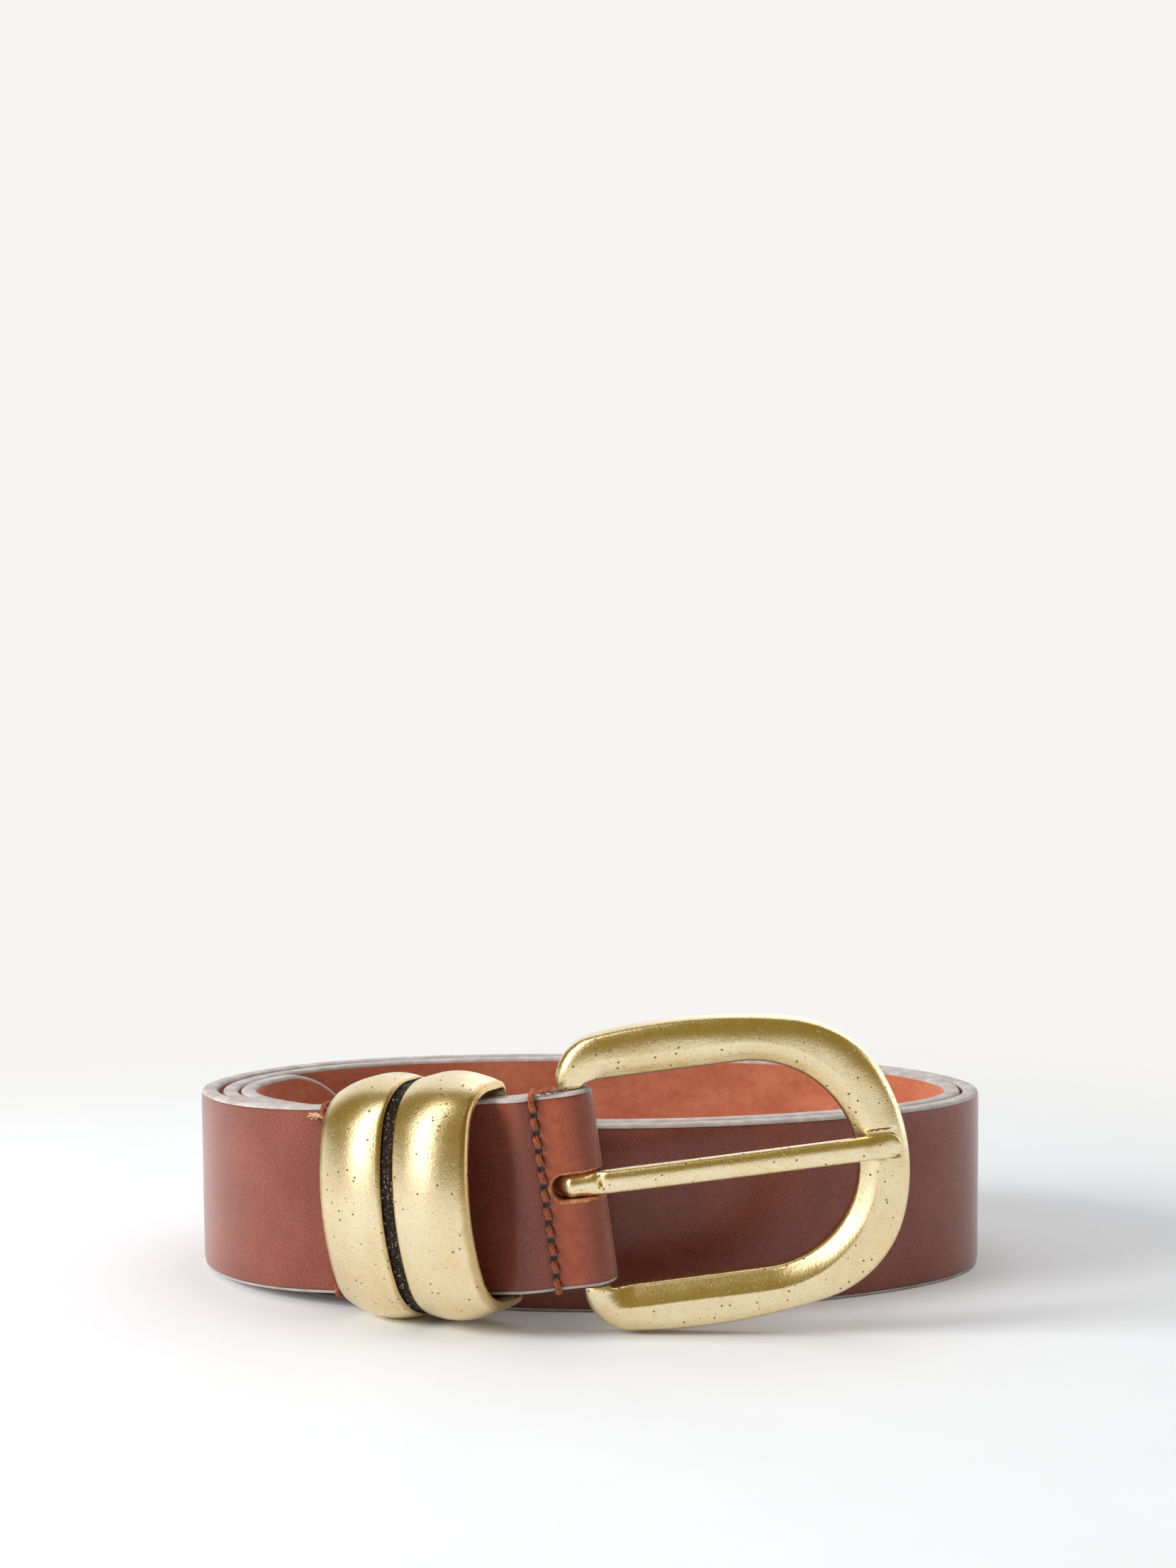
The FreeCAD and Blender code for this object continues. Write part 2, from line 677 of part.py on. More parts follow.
def build():
    return {
        "strap": make_strap(),
        "front_stitching": make_row(front_row),
        "rear_stitching": make_row(rear_row),
        "buckle_frame": make_frame(),
        "heel_bar": make_bar(),
        "tongue": make_tongue(),
        "keeper": make_keeper(),
    }


def footprint_centre(shapes):
    """Middle of the assembly's footprint."""
    box = FreeCAD.BoundBox()
    for shape in shapes:
        box.add(shape.optimalBoundingBox())
    return V(box.Center.x, box.Center.y, 0)


if __name__ == "__main__":
    nodes = build()
    shift = footprint_centre(nodes.values()) * -1
    os.makedirs("parts", exist_ok=True)
    for name, shape in nodes.items():
        shape.translate(shift)
        shape.exportStep("parts/" + name + ".step")
        print(name, shape.isValid(), len(shape.Solids), round(shape.Volume, 1))
    print("bar centre", bar_centre + shift, "shift", shift)
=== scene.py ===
import math
import bpy
import numpy as np
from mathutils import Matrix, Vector


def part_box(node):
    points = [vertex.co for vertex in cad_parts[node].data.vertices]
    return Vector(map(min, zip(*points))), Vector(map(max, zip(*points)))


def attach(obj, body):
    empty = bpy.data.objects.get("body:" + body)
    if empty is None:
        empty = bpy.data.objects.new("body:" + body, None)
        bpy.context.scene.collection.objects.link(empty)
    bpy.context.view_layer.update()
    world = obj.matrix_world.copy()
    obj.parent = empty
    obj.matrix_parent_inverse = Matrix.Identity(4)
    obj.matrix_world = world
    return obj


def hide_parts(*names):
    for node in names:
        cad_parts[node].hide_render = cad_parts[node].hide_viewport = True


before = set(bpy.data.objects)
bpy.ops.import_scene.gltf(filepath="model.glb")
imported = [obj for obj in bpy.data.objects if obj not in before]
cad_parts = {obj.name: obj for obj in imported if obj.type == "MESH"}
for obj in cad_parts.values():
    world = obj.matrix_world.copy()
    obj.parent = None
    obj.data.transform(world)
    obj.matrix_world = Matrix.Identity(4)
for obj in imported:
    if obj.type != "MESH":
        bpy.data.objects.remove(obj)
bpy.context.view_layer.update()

mm = 0.001
upright = np.array([0.0, 0.0, 1.0])
grain_kind, flesh_kind, edge_kind, cut_kind = range(4)     # the strap's materials by number

# Strap, in millimetres like every size here
strap_width = 35.0
leather = 3.2
strap_length = 888.0          # tip to heel bar
tip_length = 19.0
tip_flat = 0.06
hole_radius = 2.5
hole_count = 5
hole_pitch = 25.4
first_hole = 77.0
fold_leather = 2.5
turnback_leather = 2.4
turnback_length = 55.6
turnback_corner = 6.0
seam_gap = 0.1
fold_forward = 0.8
fold_length = 9.0
fold_taper = 6.0
fold_inside = 1.8             # inside of the fold, from the bar's centre
fold_turn = math.pi * (fold_inside + fold_leather / 2)     # its half turn, in the middle of the leather
slot_reach = 5.1
slot_cut = 2.32               # half width of the slot's cut, a hair wider than the tongue's eye
edge_round = 0.62             # rounding of the strap's four edges
face_steps = 46               # cells across a face
corner_steps = 3

# Relief of the grain face: depth of each dip and how far it spreads
wave_depth = 0.035
edge_press, edge_spread = 0.14, 1.3
row_pull, row_spread = 0.20, 1.0
awl_dimple, awl_spread = 0.55, 0.6
lip_press, lip_spread = 0.16, 0.8

# Punched holes and slot
hole_rim = 0.3                # rounding of a hole's rim
slot_rim = 0.5
window_margin = 1.5           # leather round a hole that is laid anew

# Coil and the run from it to the buckle
coil_half_length = 80.3
coil_half_depth = 45.15
turn_pitch = 3.65
coil_fullness = 1.7
coil_lean = 1.2
lean_reach = 38.0
join_angle = 82.0
blend_radius = 48.57
run_yaw = 25.9
run_straight = 42.6
bend_radius = 13.0
buckle_yaw = 3.0
buckle_tilt = 8.1
bar_rise = 9.378
rise_blend = 58.0

# Buckle frame, from the bar's centre: along the buckle, up across it and out of its front
arm_shift = -0.2
arm_inside = 18.6
frame_half = 27.6
end_band = 9.1
frame_reach = 58.6
frame_back = -2.9
frame_front = 3.1
arm_radius = 109.0
widest_reach = 18.5
shoulder_radius = 21.0
nose_radius = 34.0
heel_overhang = 2.1
heel_corner = 8.5
outer_round = 0.7
dome_drop = 1.9               # the front falls away towards the outer edge
dome_width = 6.0
dome_power = 2.6
inner_width = 3.6
inner_drop = 2.6
inner_lip = 0.55
crest_blend = 1.5             # over which the dome and the inner slope run into each other
heel_shallow = 0.8            # share of the inner slope that is gone at the heels
shallow_start = 6.6
wear_depth = 0.04
back_round = 0.7
notch_half = 3.05
notch_depth = 1.0
notch_start = 48.5
notch_end = 57.5
notch_play = 0.12
foot_stand = 0.72             # the frame stands this much closer to the strap beside the bar
foot_length = 3.4
inner_share, outer_share = 0.09, 0.38     # parts of the section that carry its closest rings

# Tongue
tongue_half = 2.14
tongue_tip_half = 2.15
tongue_reach = 57.3
tongue_thickness = 2.5
tongue_shift = 0.8
tongue_crest = 4.6
tongue_rise = 20.0
tongue_rest = 2.2             # underside of its tip, on the bottom of the notch
shank_under, neck_under = 2.35, 1.376     # underside of the shank at the bar and 10 mm on
eye_radius = 3.15
eye_crest = 4.0
eye_sweep = 4.35              # nothing of the eye is further from the bar, so that it can turn
tongue_heel = 1.0
eye_end = 2.1                 # length over which the eye's end rounds off
eye_power = 2.6
eye_curve = 3.65              # length over which the eye's underside swells
tip_drop = 1.35
dimple_place, dimple_depth, dimple_width = 3.6, 0.25, 0.8
nick_place, nick_depth, nick_length, nick_width = 3.55, 1.1, 0.26, 0.6
belly = 0.42                  # height of the widest place, from the underside

# Keeper
keeper_width = 31.6
keeper_start = 18.2
keeper_half = 18.6
keeper_depth = 14.6
keeper_back_inside = -6.777
keeper_crown = 3.6
keeper_rim = 1.2
keeper_groove = 2.6
keeper_groove_edge = 2.9
keeper_groove_wall = 2.2
keeper_back = 1.3
keeper_lip = 0.75             # rounding of its two rims
keeper_edge = 0.35            # wall at the very rim
keeper_corner = 8.0
keeper_back_corner = 0.7
keeper_fade = 1.3             # depth over which the domes end at the back
keeper_inset = 0.08           # held in by this much, and off the floor by a little
keeper_lift = 0.02
inside_steps = 12
keeper_bow = 1.8
keeper_tilt = 6.0
keeper_turn = 3.0

# Stitching
front_row = 6.4
rear_row = 51.4
stitch_pitch = 3.22
first_stitch = 2.7            # lower edge to the first hole
stack = 5.7                   # both layers and the seam
thread_gap = 0.30             # the thread's line stands off the leather
thread_corner = 0.8
thread_dip = 1.9              # into each awl hole
dip_hold, dip_ease = 0.22, 0.62           # sine up to which it stays down, and over which it comes up
row_end = 0.6                 # no dip nearer than this to the strap's edges
awl_along, awl_across = 0.62, 0.64        # half axes of an awl hole
thread_swerve = 0.14
thread_samples = 620
strand_count = 4
strand_radius = 0.24
strand_out, strand_side = 0.22, 0.36      # half axes of the oval that the strands wind about
strand_lay = 2.3              # length of one twist
fibre_count = 9
fibre_start = 32.4            # along the rear row from its lower end
fibre_radius = 0.17

bar_low, bar_high = (np.array(corner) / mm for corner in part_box("heel_bar"))
bar_centre = (bar_low + bar_high) / 2
tilt = math.radians(buckle_tilt)


def smooth(x):
    """Ease from 0 to 1: 3x^2 - 2x^3."""
    x = np.clip(x, 0.0, 1.0)
    return x * x * (3 - 2 * x)


def soft_min(first, second, blend):
    """The lesser of two, rounded off where they come within blend of each other."""
    near = np.clip(0.5 + 0.5 * (second - first) / blend, 0.0, 1.0)
    return second + (first - second) * near - blend * near * (1 - near)


def bell(x, width):
    """exp(-(x / width)^2)."""
    return np.exp(-(x / width) ** 2)


def quarter(x):
    """Quarter circle from 0 to 1: sqrt(1 - (1 - x)^2)."""
    return np.sqrt(1 - (1 - np.clip(x, 0.0, 1.0)) ** 2)


def unit(vectors):
    """Each vector at length 1."""
    return vectors / np.linalg.norm(vectors, axis=-1, keepdims=True)


def join(*arrays):
    """Arrays one after another."""
    return np.concatenate(arrays)


def spread(start, end, step):
    """Even steps from start to end, the end left out."""
    count = max(1, round(abs(end - start) / step))
    return start + (end - start) * np.arange(count) / count


# ---------------------------------------------------------------- shapes to meshes

def grid_quads(rows, columns, closed_rows=False, closed_columns=True):
    """Corners of every cell of a grid whose vertices are numbered row by row."""
    row = np.arange(rows if closed_rows else rows - 1)[:, None]
    column = np.arange(columns if closed_columns else columns - 1)[None, :]
    next_row = (row + 1) % rows
    next_column = (column + 1) % columns
    corners = [row * columns + column, row * columns + next_column,
               next_row * columns + next_column, next_row * columns + column]
    return np.stack(corners, -1)


def caps(rings, sides, first=0):
    """The two end faces of rings laid one after another, their points numbered from first."""
    last = first + (rings - 1) * sides
    return [list(range(first, first + sides))[::-1], list(range(last, last + sides))]


def put(name, data, place=(0.0, 0.0, 0.0)):
    """A new object in the scene, at a place in metres."""
    made = bpy.data.objects.new(name, data)
    made.location = place
    bpy.context.scene.collection.objects.link(made)
    return made


def new_piece(name, points, faces, materials, uv=None, kinds=None, sharp=40.0):
    """A smooth mesh of points in millimetres; uv is one pair of metres for each point, kinds a material
    number for each face, sharp the angle in degrees past which an edge stays hard."""
    mesh = bpy.data.meshes.new(name)
    mesh.from_pydata((np.asarray(points) * mm).tolist(), [], [list(face) for face in faces])
    if uv is not None:
        corner_points = np.empty(len(mesh.loops), dtype=np.int32)
        mesh.loops.foreach_get("vertex_index", corner_points)
        surface = mesh.uv_layers.new(name="surface").data
        surface.foreach_set("uv", uv[corner_points].astype(np.float32).ravel())
    for material in materials:
        mesh.materials.append(material)
    if kinds is not None:
        mesh.polygons.foreach_set("material_index", np.asarray(kinds, dtype=np.int32))
    mesh.polygons.foreach_set("use_smooth", np.ones(len(mesh.polygons), dtype=bool))
    mesh.validate()
    mesh.set_sharp_from_angle(angle=math.radians(sharp))
    mesh.update()
    return put(name, mesh)


def closed_piece(name, points, material):
    """A smooth mesh of rings of points, one to a row, with both ends closed."""
    rows, columns = points.shape[:2]
    faces = grid_quads(rows, columns).reshape(-1, 4).tolist() + caps(rows, columns)
    return new_piece(name, points.reshape(-1, 3), faces, [material], sharp=50.0)


def tubes(centre_lines, radius, sides):
    """Round tubes along lines of shape (tubes, samples, 3): a circle of points square to the line's
    direction at each sample, its ends closed. Returns points and faces."""
    count, samples, _ = centre_lines.shape
    direction = unit(np.gradient(centre_lines, axis=1))
    side = unit(np.cross(direction, [0.013, 1.013, 0.013]))     # a direction that no thread runs in
    other = np.cross(direction, side)
    turn = np.arange(sides)[:, None] / sides * 2 * np.pi
    ring = side[:, :, None] * np.cos(turn) + other[:, :, None] * np.sin(turn)
    points = (centre_lines[:, :, None] + ring * radius).reshape(-1, 3)
    starts = np.arange(count) * samples * sides
    faces = (grid_quads(samples, sides).reshape(-1, 4) + starts[:, None, None]).reshape(-1, 4).tolist()
    for first in starts.tolist():
        faces += caps(samples, sides, first)
    return points, faces


# ---------------------------------------------------------------- the strap's path

def coil_points(angles):
    """Grain face of the coil: an ellipse that shrinks by turn_pitch each turn, drawn in along its
    normal by coil_fullness cos(angle) sin(2 angle)^2. Angles in degrees from the front."""
    a = coil_half_length - turn_pitch * angles / 360
    b = coil_half_depth - turn_pitch * angles / 360
    sine = np.sin(np.radians(angles))
    cosine = np.cos(np.radians(angles))
    outward = unit(np.stack([-sine / a, -cosine / b, 0 * a], -1))
    hollow = coil_fullness * cosine * np.sin(np.radians(2 * angles)) ** 2
    return np.stack([-a * sine, -b * cosine, 0 * a], -1) - outward * hollow[:, None]


def coil_yaws(angles):
    """Direction of the coil towards the buckle, unwound so that it grows without a jump."""
    along = coil_points(angles - 0.5) - coil_points(angles + 0.5)
    return np.unwrap(np.arctan2(-along[:, 1], along[:, 0]))


def heading(yaw):
    """Level direction towards the buckle."""
    return np.stack([np.cos(yaw), -np.sin(yaw), 0 * yaw], -1)


def facing(yaw):
    """Level direction out of the grain face."""
    return np.stack([-np.sin(yaw), -np.cos(yaw), 0 * yaw], -1)


def strap_path():
    """Reach from the bar, point and yaw at close stations: an arc of blend_radius, a straight stretch
    and an arc of bend_radius, summed in small steps, then the coil."""
    angles = np.arange(join_angle, join_angle + 800, 0.5)
    coil = coil_points(angles)
    yaws = coil_yaws(angles)
    goal, last = math.radians(run_yaw), math.radians(buckle_yaw)
    lengths = np.cumsum([0.0, blend_radius * (yaws[0] - goal), run_straight, bend_radius * (goal - last)])
    travel = np.linspace(0, lengths[-1], 600)
    yaw = np.interp(travel, lengths, [yaws[0], goal, goal, last])
    middle = (yaw[1:] + yaw[:-1]) / 2
    legs = heading(middle) * np.diff(travel)[:, None]
    run = join(coil[:1], coil[0] + np.cumsum(legs, axis=0))
    legs = np.linalg.norm(np.diff(coil, axis=0), axis=1)
    join_reach = fold_length + lengths[-1]
    reach = join(fold_length + lengths[-1] - travel[::-1], join_reach + np.cumsum(legs))
    return reach, join(run[::-1], coil[1:]), join(yaw[::-1], yaws[1:]), join_reach


path_reach, path_point, path_yaw, join_reach = strap_path()


def at(reach):
    """The grain face's point and yaw at each reach; the last stretch before the bar is straight."""
    held = np.maximum(reach, fold_length)
    yaw = np.interp(held, path_reach, path_yaw)
    point = np.stack([np.interp(held, path_reach, path_point[:, k]) for k in range(3)], -1)
    return point + heading(yaw) * (held - reach)[:, None], yaw


def climb(reach):
    """Height of the lower edge and its slope: level on the coil, then a parabola, then straight up to
    the bar."""
    slope = math.tan(tilt)
    left = np.clip(bar_rise / slope - reach, -rise_blend, None)
    eased = slope * (np.minimum(left, rise_blend) + rise_blend) / (2 * rise_blend)
    height = np.where(left >= rise_blend, slope * left, eased * (left + rise_blend) / 2)
    return height, eased


def tipped(yaw, angle):
    """Directions along and across whatever points to a yaw and climbs at an angle."""
    along = heading(yaw) * np.cos(angle) + upright * np.sin(angle)
    return along, upright * np.cos(angle) - heading(yaw) * np.sin(angle)


def strap_frame(reach):
    """Lower grain corner, direction to the buckle, outward normal and direction across, at each reach."""
    point, yaw = at(reach)
    height, slope = climb(reach)
    along, across = tipped(yaw, np.arctan(slope)[:, None])
    return point + upright * height[:, None], along, facing(yaw), across


def place_path():
    """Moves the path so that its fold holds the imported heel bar, and returns the buckle's directions."""
    corner, along, outward, across = (each[0] for each in strap_frame(np.array([fold_length])))
    foot = corner + along * fold_length - outward * (fold_forward + leather)
    path_point[:] += bar_centre - (foot + across * (strap_width / 2 + arm_shift))
    return along, outward, across


along_bar, front, across_bar = place_path()
bar_foot = bar_centre - across_bar * (strap_width / 2 + arm_shift)


def in_buckle(along, up, out):
    """Points given from the bar's centre: towards the frame's end, across and to the front."""
    along, up, out = (np.asarray(each)[..., None] for each in np.broadcast_arrays(along, up, out))
    return bar_centre + along_bar * along + across_bar * up + front * out


# ---------------------------------------------------------------- the strap's surface

def strap_sections(reach):
    """Grain corners below and above and flesh corner below. The upper edge leans out by a bell of the
    reach, which fades before the keeper; the tip is trimmed to a quarter wave."""
    corner, _, outward, across = strap_frame(reach)
    keeper_end = keeper_start + keeper_width
    fade = np.where(reach < join_reach, smooth((reach - keeper_end) / (join_reach - keeper_end)), 1.0)
    lean = coil_lean * bell(reach - join_reach - lean_reach, lean_reach) * fade
    wave = np.arccos(np.clip(1 - (strap_length - reach) / tip_length, 0.0, 1.0))
    trim = (strap_width / 2 * (1 - np.sin(wave)))[:, None]
    low = corner + across * trim
    high = corner + across * (strap_width - trim) + outward * lean[:, None]
    return low, high, low - outward * leather


def turnback_sections(reach):
    """The turned-back leather, its grain towards the coil and its two end corners cut off."""
    corner, _, outward, across = strap_frame(reach)
    trim = np.clip(reach - turnback_length + turnback_corner, 0.0, turnback_corner)[:, None]
    low = corner - outward * stack + across * trim
    high = low + across * (strap_width - 2 * trim)
    return low, high, low + outward * turnback_leather


def fold_sections(grain_along, grain_out, flesh_along, flesh_out):
    """Sections beside or round the bar, each face given along the buckle and out from the bar."""
    low = bar_foot + along_bar * grain_along[:, None] + front * grain_out[:, None]
    flesh = bar_foot + along_bar * flesh_along[:, None] + front * flesh_out[:, None]
    return low, low + across_bar * strap_width, flesh


def fold_stretch():
    """Front layer, half turn and back layer at the bar. The layers open from the seam to the bar's
    clearance by the ease of (1 + along / fold_taper)."""
    inner, outer = fold_inside, fold_inside + fold_leather
    along = spread(-fold_length, 0, 0.4)
    opened = smooth(1 + along / fold_taper)
    grain = fold_forward + leather + (outer - fold_forward - leather) * opened
    flesh = fold_forward + (inner - fold_forward) * opened
    front_layer = fold_sections(along, grain, along, flesh)
    angle = spread(np.pi / 2, -np.pi / 2, 0.14)
    cosine, sine = np.cos(angle), np.sin(angle)
    around = fold_sections(outer * cosine, outer * sine, inner * cosine, inner * sine)
    back_along = -spread(0, fold_length, 0.6)
    opened = smooth(1 + back_along / fold_taper)
    shut = fold_forward - seam_gap
    flesh = shut - (inner + shut) * opened
    grain = shut - turnback_leather - (outer + shut - turnback_leather) * opened
    back_layer = fold_sections(back_along, grain, back_along, flesh)
    travel = join(along, (np.pi / 2 - angle) * (inner + outer) / 2, fold_turn - back_along)
    return travel, [join(*parts) for parts in zip(front_layer, around, back_layer)]


def strap_stations():
    """Travel along the leather (0 where the half turn starts, negative to the tip) and its sections,
    closest together at the tip, the fold and the rear row of stitches."""
    wave = np.linspace(tip_flat * np.pi / 2, np.pi / 2, 26)[:-1]
    tip = strap_length - tip_length * (1 - np.cos(wave))
    coil = spread(strap_length - tip_length, join_reach, 1.9)
    run = join(spread(join_reach, rear_row + 1.5, 0.8), spread(rear_row + 1.5, rear_row - 1.5, 0.35),
               spread(rear_row - 1.5, fold_length, 0.8))
    reach = join(tip, coil, run)
    corner_start = turnback_length - turnback_corner
    back_reach = join(spread(fold_length, corner_start, 0.9), np.linspace(corner_start, turnback_length, 9))
    fold_travel, fold = fold_stretch()
    travel = join(-reach, fold_travel, fold_turn + back_reach)
    parts = zip(strap_sections(reach), fold, turnback_sections(back_reach))
    return travel, [join(*part) for part in parts]


travel_line, section_lines = strap_stations()
section_width, section_depth = (np.linalg.norm(line - section_lines[0], axis=1)
                                for line in section_lines[1:])
rows_of_holes = (-front_row, -rear_row, fold_turn + front_row, fold_turn + rear_row)
punched_holes = [first_hole + number * hole_pitch - strap_length for number in range(hole_count)]


def strap_relief(travel, across):
    """How far the grain face lies below its plane: a slow waviness of two crossing sines, and bells for
    the pressed edges, the pull of each row and each awl hole, and the lip of each punched hole."""
    edge = np.minimum(across, strap_width - across)
    depth = 0.05 + wave_depth * np.sin(travel / 13.0 + across / 7.0) * np.sin(across / 5.3 - travel / 31.0)
    depth = depth + edge_press * bell(edge, edge_spread)
    step = np.mod(across - first_stitch + stitch_pitch / 2, stitch_pitch) - stitch_pitch / 2
    for row in rows_of_holes:
        depth = depth + row_pull * bell(travel - row, row_spread)
        depth = depth + awl_dimple * bell(np.hypot(travel - row, step), awl_spread)
    for centre in punched_holes:
        apart = np.hypot(travel - centre, across - strap_width / 2)
        depth = depth + lip_press * bell(apart - hole_radius, lip_spread)
    return depth


def strap_point(travel, across, depth, trim=0.0):
    """A point of the leather: across from the lower edge, which is trimmed by so much near the tip, and
    down from the grain face, between the corners of the section at that travel."""
    low, high, flesh = (np.stack([np.interp(travel, travel_line, line[:, k]) for k in range(3)], -1)
                        for line in section_lines)
    width = np.linalg.norm(high - low, axis=-1)
    deep = np.linalg.norm(flesh - low, axis=-1)
    sunk = depth + strap_relief(travel, across + trim) * np.clip(1 - depth / deep, 0.0, 1.0)
    return low + (high - low) * (across / width)[..., None] + (flesh - low) * (sunk / deep)[..., None]


def strap_profile():
    """The section's outline as four rows of numbers, so that across = a width + b round and
    depth = c thickness + d round: grain face upwards, over the upper edge by two quarter circles, then
    the same turned half round for the flesh face and the lower edge."""
    face = np.linspace(0, 1, face_steps + 1)
    turn = np.linspace(0, np.pi / 2, corner_steps + 1)[1:-1]
    zero = 0 * turn
    grain = [face, 1 - 2 * face, 0 * face, 0 * face]
    bend = [1 + zero, np.sin(turn) - 1, zero, 1 - np.cos(turn)]
    edge = [np.ones(3), np.zeros(3), np.array([0, 0.5, 1]), np.array([1.0, 0, -1])]
    bend_back = [1 + zero, np.cos(turn) - 1, 1 + zero, np.sin(turn) - 1]
    first = np.concatenate([np.array(part) for part in (grain, bend, edge, bend_back)], axis=1)
    second = np.stack([1 - first[0], -first[1], 1 - first[2], -first[3]])
    return np.concatenate([first, second], axis=1)


# Rings of points from the leather round a hole, over its rim, through it and out to the other face:
# share of the way to the hole, distance beyond its outline and depth in rims, depth in thicknesses
hole_rings = np.array([
    (0.4, 1.0, 0.0, 0.0), (0.8, 1.0, 0.0, 0.0), (1.0, 1.0, 0.0, 0.0), (1.0, 0.3, 0.3, 0.0),
    (1.0, 0.0, 1.0, 0.0), (1.0, 0.0, 0.0, 0.4), (1.0, 0.0, 0.0, 0.7), (1.0, 0.0, -1.0, 1.0),
    (1.0, 0.3, -0.3, 1.0), (1.0, 1.0, 0.0, 1.0), (0.8, 1.0, 0.0, 1.0), (0.4, 1.0, 0.0, 1.0)])
hole_kinds = [grain_kind] * 3 + [cut_kind] * 6 + [flesh_kind] * 4


def hole_window(first, last, centre, half):
    """Rows and columns of the grid that a hole takes up, with its margin. The hole is half wide about a
    line from first to last along the leather, centre across it."""
    margin = half + window_margin
    spacing = (strap_width - 2 * edge_round) / face_steps
    rows = np.searchsorted(travel_line, [first - margin, last + margin])
    low, high = (int((side - edge_round) / spacing) for side in (centre - margin, centre + margin))
    return *rows, low, high + 1


def hole_patch(places, grain_at, flesh_at, window, hole, rim):
    """Opens one hole through both faces. Each point of the window's border looks at the nearest point of
    the hole's line; the rings lie on that ray, from the border to half from the line, and go down by
    the depths of hole_rings. Returns new points, their places, faces and materials."""
    low_row, high_row, low_column, high_column = window
    first, last, centre, half = hole
    rows = np.arange(low_row, high_row + 1)
    columns = np.arange(low_column, high_column + 1)
    border = join(np.stack([rows[:-1], 0 * rows[:-1] + low_column], -1),
                  np.stack([0 * columns[:-1] + high_row, columns[:-1]], -1),
                  np.stack([rows[:0:-1], 0 * rows[1:] + high_column], -1),
                  np.stack([0 * columns[1:] + low_row, columns[:0:-1]], -1))
    grain_ring = grain_at[border[:, 0], border[:, 1]]
    flesh_ring = flesh_at[border[:, 0], border[:, 1]]
    start = places[grain_ring]
    foot = np.stack([np.clip(start[:, 0], first, last), 0 * start[:, 0] + centre], -1)
    thickness = np.interp(start[:, 0], travel_line, section_depth)
    share, beyond, sunk, through = hole_rings.T[:, :, None]
    goal = foot + unit(start - foot) * (half + beyond * rim)[..., None]
    spot = start + (goal - start) * share[..., None]
    points = strap_point(spot[..., 0], spot[..., 1], sunk * rim + through * thickness)
    numbers = len(places) + np.arange(spot[..., 0].size).reshape(spot.shape[:2])
    rings = join(grain_ring[None], numbers, flesh_ring[None])
    near, far = rings[:-1], rings[1:]
    faces = np.stack([near, np.roll(near, -1, axis=1), np.roll(far, -1, axis=1), far], -1)
    kinds = np.repeat(hole_kinds, len(border))
    return points.reshape(-1, 3), spot.reshape(-1, 2), faces.reshape(-1, 4), kinds


def make_strap(materials):
    """The whole strap: its section's outline carried along every station, with the holes and the slot
    opened and both ends closed."""
    wide, rounding, thick, drop = strap_profile()
    width = section_width[:, None]
    bend = np.minimum(edge_round, width * 0.45)
    across_grid = wide * width + rounding * bend
    depth_grid = thick * section_depth[:, None] + drop * bend
    travel_grid = np.broadcast_to(travel_line[:, None], across_grid.shape)
    trim = (strap_width - width) / 2
    points = strap_point(travel_grid, across_grid, depth_grid, trim).reshape(-1, 3)
    places = np.stack([travel_grid, across_grid + trim], -1).reshape(-1, 2)
    rows, columns = across_grid.shape
    numbers = np.arange(rows * columns).reshape(rows, columns)
    flesh_first = columns // 2
    flesh_last = flesh_first + face_steps
    grain_at = numbers[:, :face_steps + 1]
    flesh_at = numbers[:, flesh_first:flesh_last + 1][:, ::-1]
    cells = grid_quads(rows, columns)
    kept = np.ones(cells.shape[:2], dtype=bool)
    kind_row = np.full(columns, edge_kind)
    kind_row[:face_steps] = grain_kind
    kind_row[flesh_first:flesh_last] = flesh_kind
    kinds = np.broadcast_to(kind_row, (rows - 1, columns))
    openings = [((place, place, strap_width / 2, hole_radius), hole_rim) for place in punched_holes]
    blind = slot_cut - slot_reach
    slot_middle = strap_width / 2 + arm_shift + tongue_shift
    openings.append(((blind, fold_turn - blind, slot_middle, slot_cut), slot_rim))
    faces = []
    face_kinds = []
    for hole, rim in openings:
        window = hole_window(*hole)
        low_row, high_row, low_column, high_column = window
        kept[low_row:high_row, low_column:high_column] = False
        kept[low_row:high_row, flesh_last - high_column:flesh_last - low_column] = False
        made = hole_patch(places, grain_at, flesh_at, window, hole, rim)
        points, places = join(points, made[0]), join(places, made[1])
        faces.append(made[2])
        face_kinds.append(made[3])
    faces = join(cells[kept], *faces).tolist() + caps(rows, columns)
    face_kinds = join(kinds[kept], *face_kinds, [edge_kind] * 2)
    return new_piece("strap_leather", points, faces, materials, places * mm, face_kinds)


# ---------------------------------------------------------------- stitching

